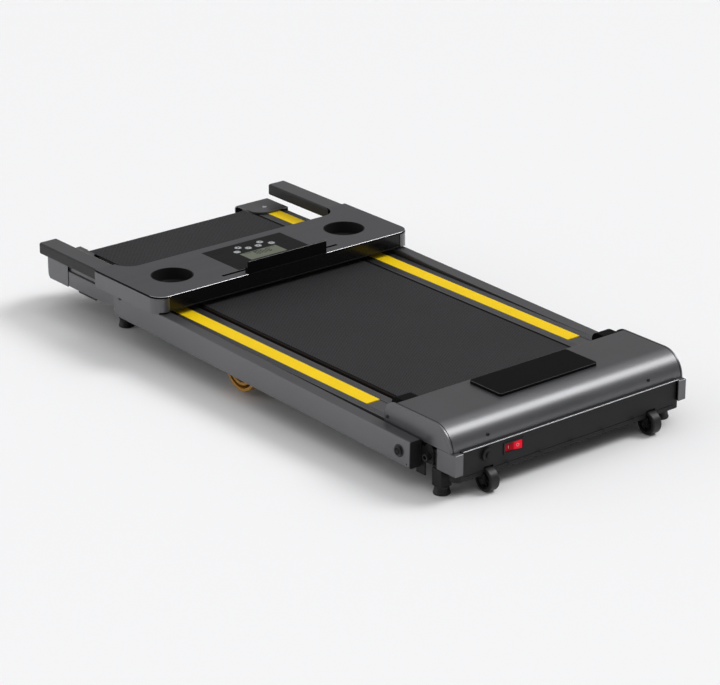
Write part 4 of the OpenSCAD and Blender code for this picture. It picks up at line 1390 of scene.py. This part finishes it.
class TREADMILL_OT_feet(bpy.types.Operator):
    """Makes the transport wheels and the rubber feet"""

    bl_idname = "treadmill.feet"
    bl_label = "Wheels and feet"

    def execute(self, context):
        make_wheel(-1)
        make_wheel(1)
        make_foot_pads()
        return {"FINISHED"}


class TREADMILL_OT_works(bpy.types.Operator):
    """Gives the frame, rollers, motor and other inner parts their materials"""

    bl_idname = "treadmill.works"
    bl_label = "Inner works"

    def execute(self, context):
        dressed = {
            "zinc_steel": [
                "front_roller", "rear_roller", "roller_bearings", "roller_axles", "roller_pulley",
                "motor_rotor", "motor_pulley", "tension_bolts", "hinge_pins", "hinge_lugs",
            ],
            "black_oxide": ["pivot_bolts", "fork_screws", "wheel_axles"],
            "black_powder": ["cross_members", "motor_case", "handlebar_cores"],
            "black_moulding": ["upright_bushes", "upright_forks"],
            "orange_elastomer": ["deck_cushions"],
            "soft_rubber": ["drive_belt"],
            "deck_laminate": ["deck_board"],
            "circuit_green": ["controller"],
        }
        for key, nodes in dressed.items():
            for node in nodes:
                dress(node, key)
        return {"FINISHED"}


class TREADMILL_OT_studio(bpy.types.Operator):
    """Makes the pale floor, the light and the camera"""

    bl_idname = "treadmill.studio"
    bl_label = "Studio"

    def execute(self, context):
        scene = context.scene
        settings = scene.treadmill_studio
        add_floor(settings)
        add_world(settings)
        camera = bpy.data.cameras.new("Camera")
        camera.lens = settings.lens
        camera.sensor_fit = "HORIZONTAL"
        camera.sensor_width = 36.0
        camera.clip_end = 100.0
        seen = bpy.data.objects.new("Camera", camera)
        seen.location = settings.camera_place
        seen.rotation_euler = settings.camera_turn
        scene.collection.objects.link(seen)
        scene.camera = seen
        scene.view_settings.view_transform = "Standard"
        return {"FINISHED"}


def add_floor(settings):
    """A wide plain floor."""
    bm = bmesh.new()
    bmesh.ops.create_grid(bm, x_segments=2, y_segments=2, size=30.0)
    mesh = bpy.data.meshes.new("Floor")
    bm.to_mesh(mesh)
    bm.free()
    f = Finish("Studio floor", settings.floor, 0.75)
    mesh.materials.append(f.material)
    floor = bpy.data.objects.new("Floor", mesh)
    bpy.context.scene.collection.objects.link(floor)
    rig.stage(floor)


class Sky(Finish):
    """The light all round: faint and even, with soft boxes that have a direction and a spread."""

    def __init__(self, even, boxes):
        self.world = bpy.data.worlds.new("Studio")
        self.world.use_nodes = True
        self.tree = self.world.node_tree
        self.shader = self.tree.nodes["Background"]
        towards = self.node("ShaderNodeTexCoord", output="Generated")
        total = None
        for azimuth, elevation, spread, strength in boxes:
            turn, rise = math.radians(azimuth), math.radians(elevation)
            flat = math.cos(rise)
            axis = (flat * math.cos(turn), flat * math.sin(turn), math.sin(rise))
            dot = {"operation": "DOT_PRODUCT"}
            near = self.node("ShaderNodeVectorMath", dot, {0: towards, 1: axis}, "Value")
            edge, core = math.cos(math.radians(spread)), math.cos(math.radians(spread * 0.25))
            box = near.smooth(edge, core) * strength
            total = box + even if total is None else total + box
        self.set({"Color": (1.0, 1.0, 1.0, 1.0), "Strength": total})


def add_world(settings):
    """Lights the studio from all round."""
    bpy.context.scene.world = Sky(settings.sky, SOFT_BOXES).world


OPERATORS = (
    TREADMILL_OT_hood,
    TREADMILL_OT_front,
    TREADMILL_OT_deck,
    TREADMILL_OT_uprights,
    TREADMILL_OT_console,
    TREADMILL_OT_feet,
    TREADMILL_OT_works,
    TREADMILL_OT_studio,
)


class TREADMILL_PT_panel(bpy.types.Panel):
    """Lists the pieces of the treadmill"""

    bl_label = "Treadmill"
    bl_idname = "TREADMILL_PT_panel"
    bl_space_type = "VIEW_3D"
    bl_region_type = "UI"
    bl_category = "Treadmill"

    def draw(self, context):
        for operator in OPERATORS:
            self.layout.operator(operator.bl_idname)


SETTINGS = {
    "treadmill_colours": TreadmillColours,
    "treadmill_hood": TreadmillHood,
    "treadmill_deck": TreadmillDeck,
    "treadmill_edges": TreadmillEdges,
    "treadmill_studio": TreadmillStudio,
}


def register():
    for cls in (*SETTINGS.values(), *OPERATORS, TREADMILL_PT_panel):
        bpy.utils.register_class(cls)
    for name, cls in SETTINGS.items():
        setattr(bpy.types.Scene, name, PointerProperty(type=cls))


def unregister():
    for name in SETTINGS:
        delattr(bpy.types.Scene, name)
    for cls in (TREADMILL_PT_panel, *reversed(OPERATORS), *reversed(list(SETTINGS.values()))):
        bpy.utils.unregister_class(cls)


def main():
    """Makes every piece and the studio, and writes the sizes."""
    register()
    bpy.ops.treadmill.hood()
    bpy.ops.treadmill.front()
    bpy.ops.treadmill.deck()
    bpy.ops.treadmill.uprights()
    bpy.ops.treadmill.console()
    bpy.ops.treadmill.feet()
    bpy.ops.treadmill.works()
    bpy.ops.treadmill.studio()
    bpy.context.view_layer.update()
    visual_box = [list(corner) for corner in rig.bounds()]
    with open("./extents.json", "w") as sizes:
        json.dump({"cad": CAD_BOX, "visual": visual_box}, sizes)


if __name__ == "__main__":
    main()
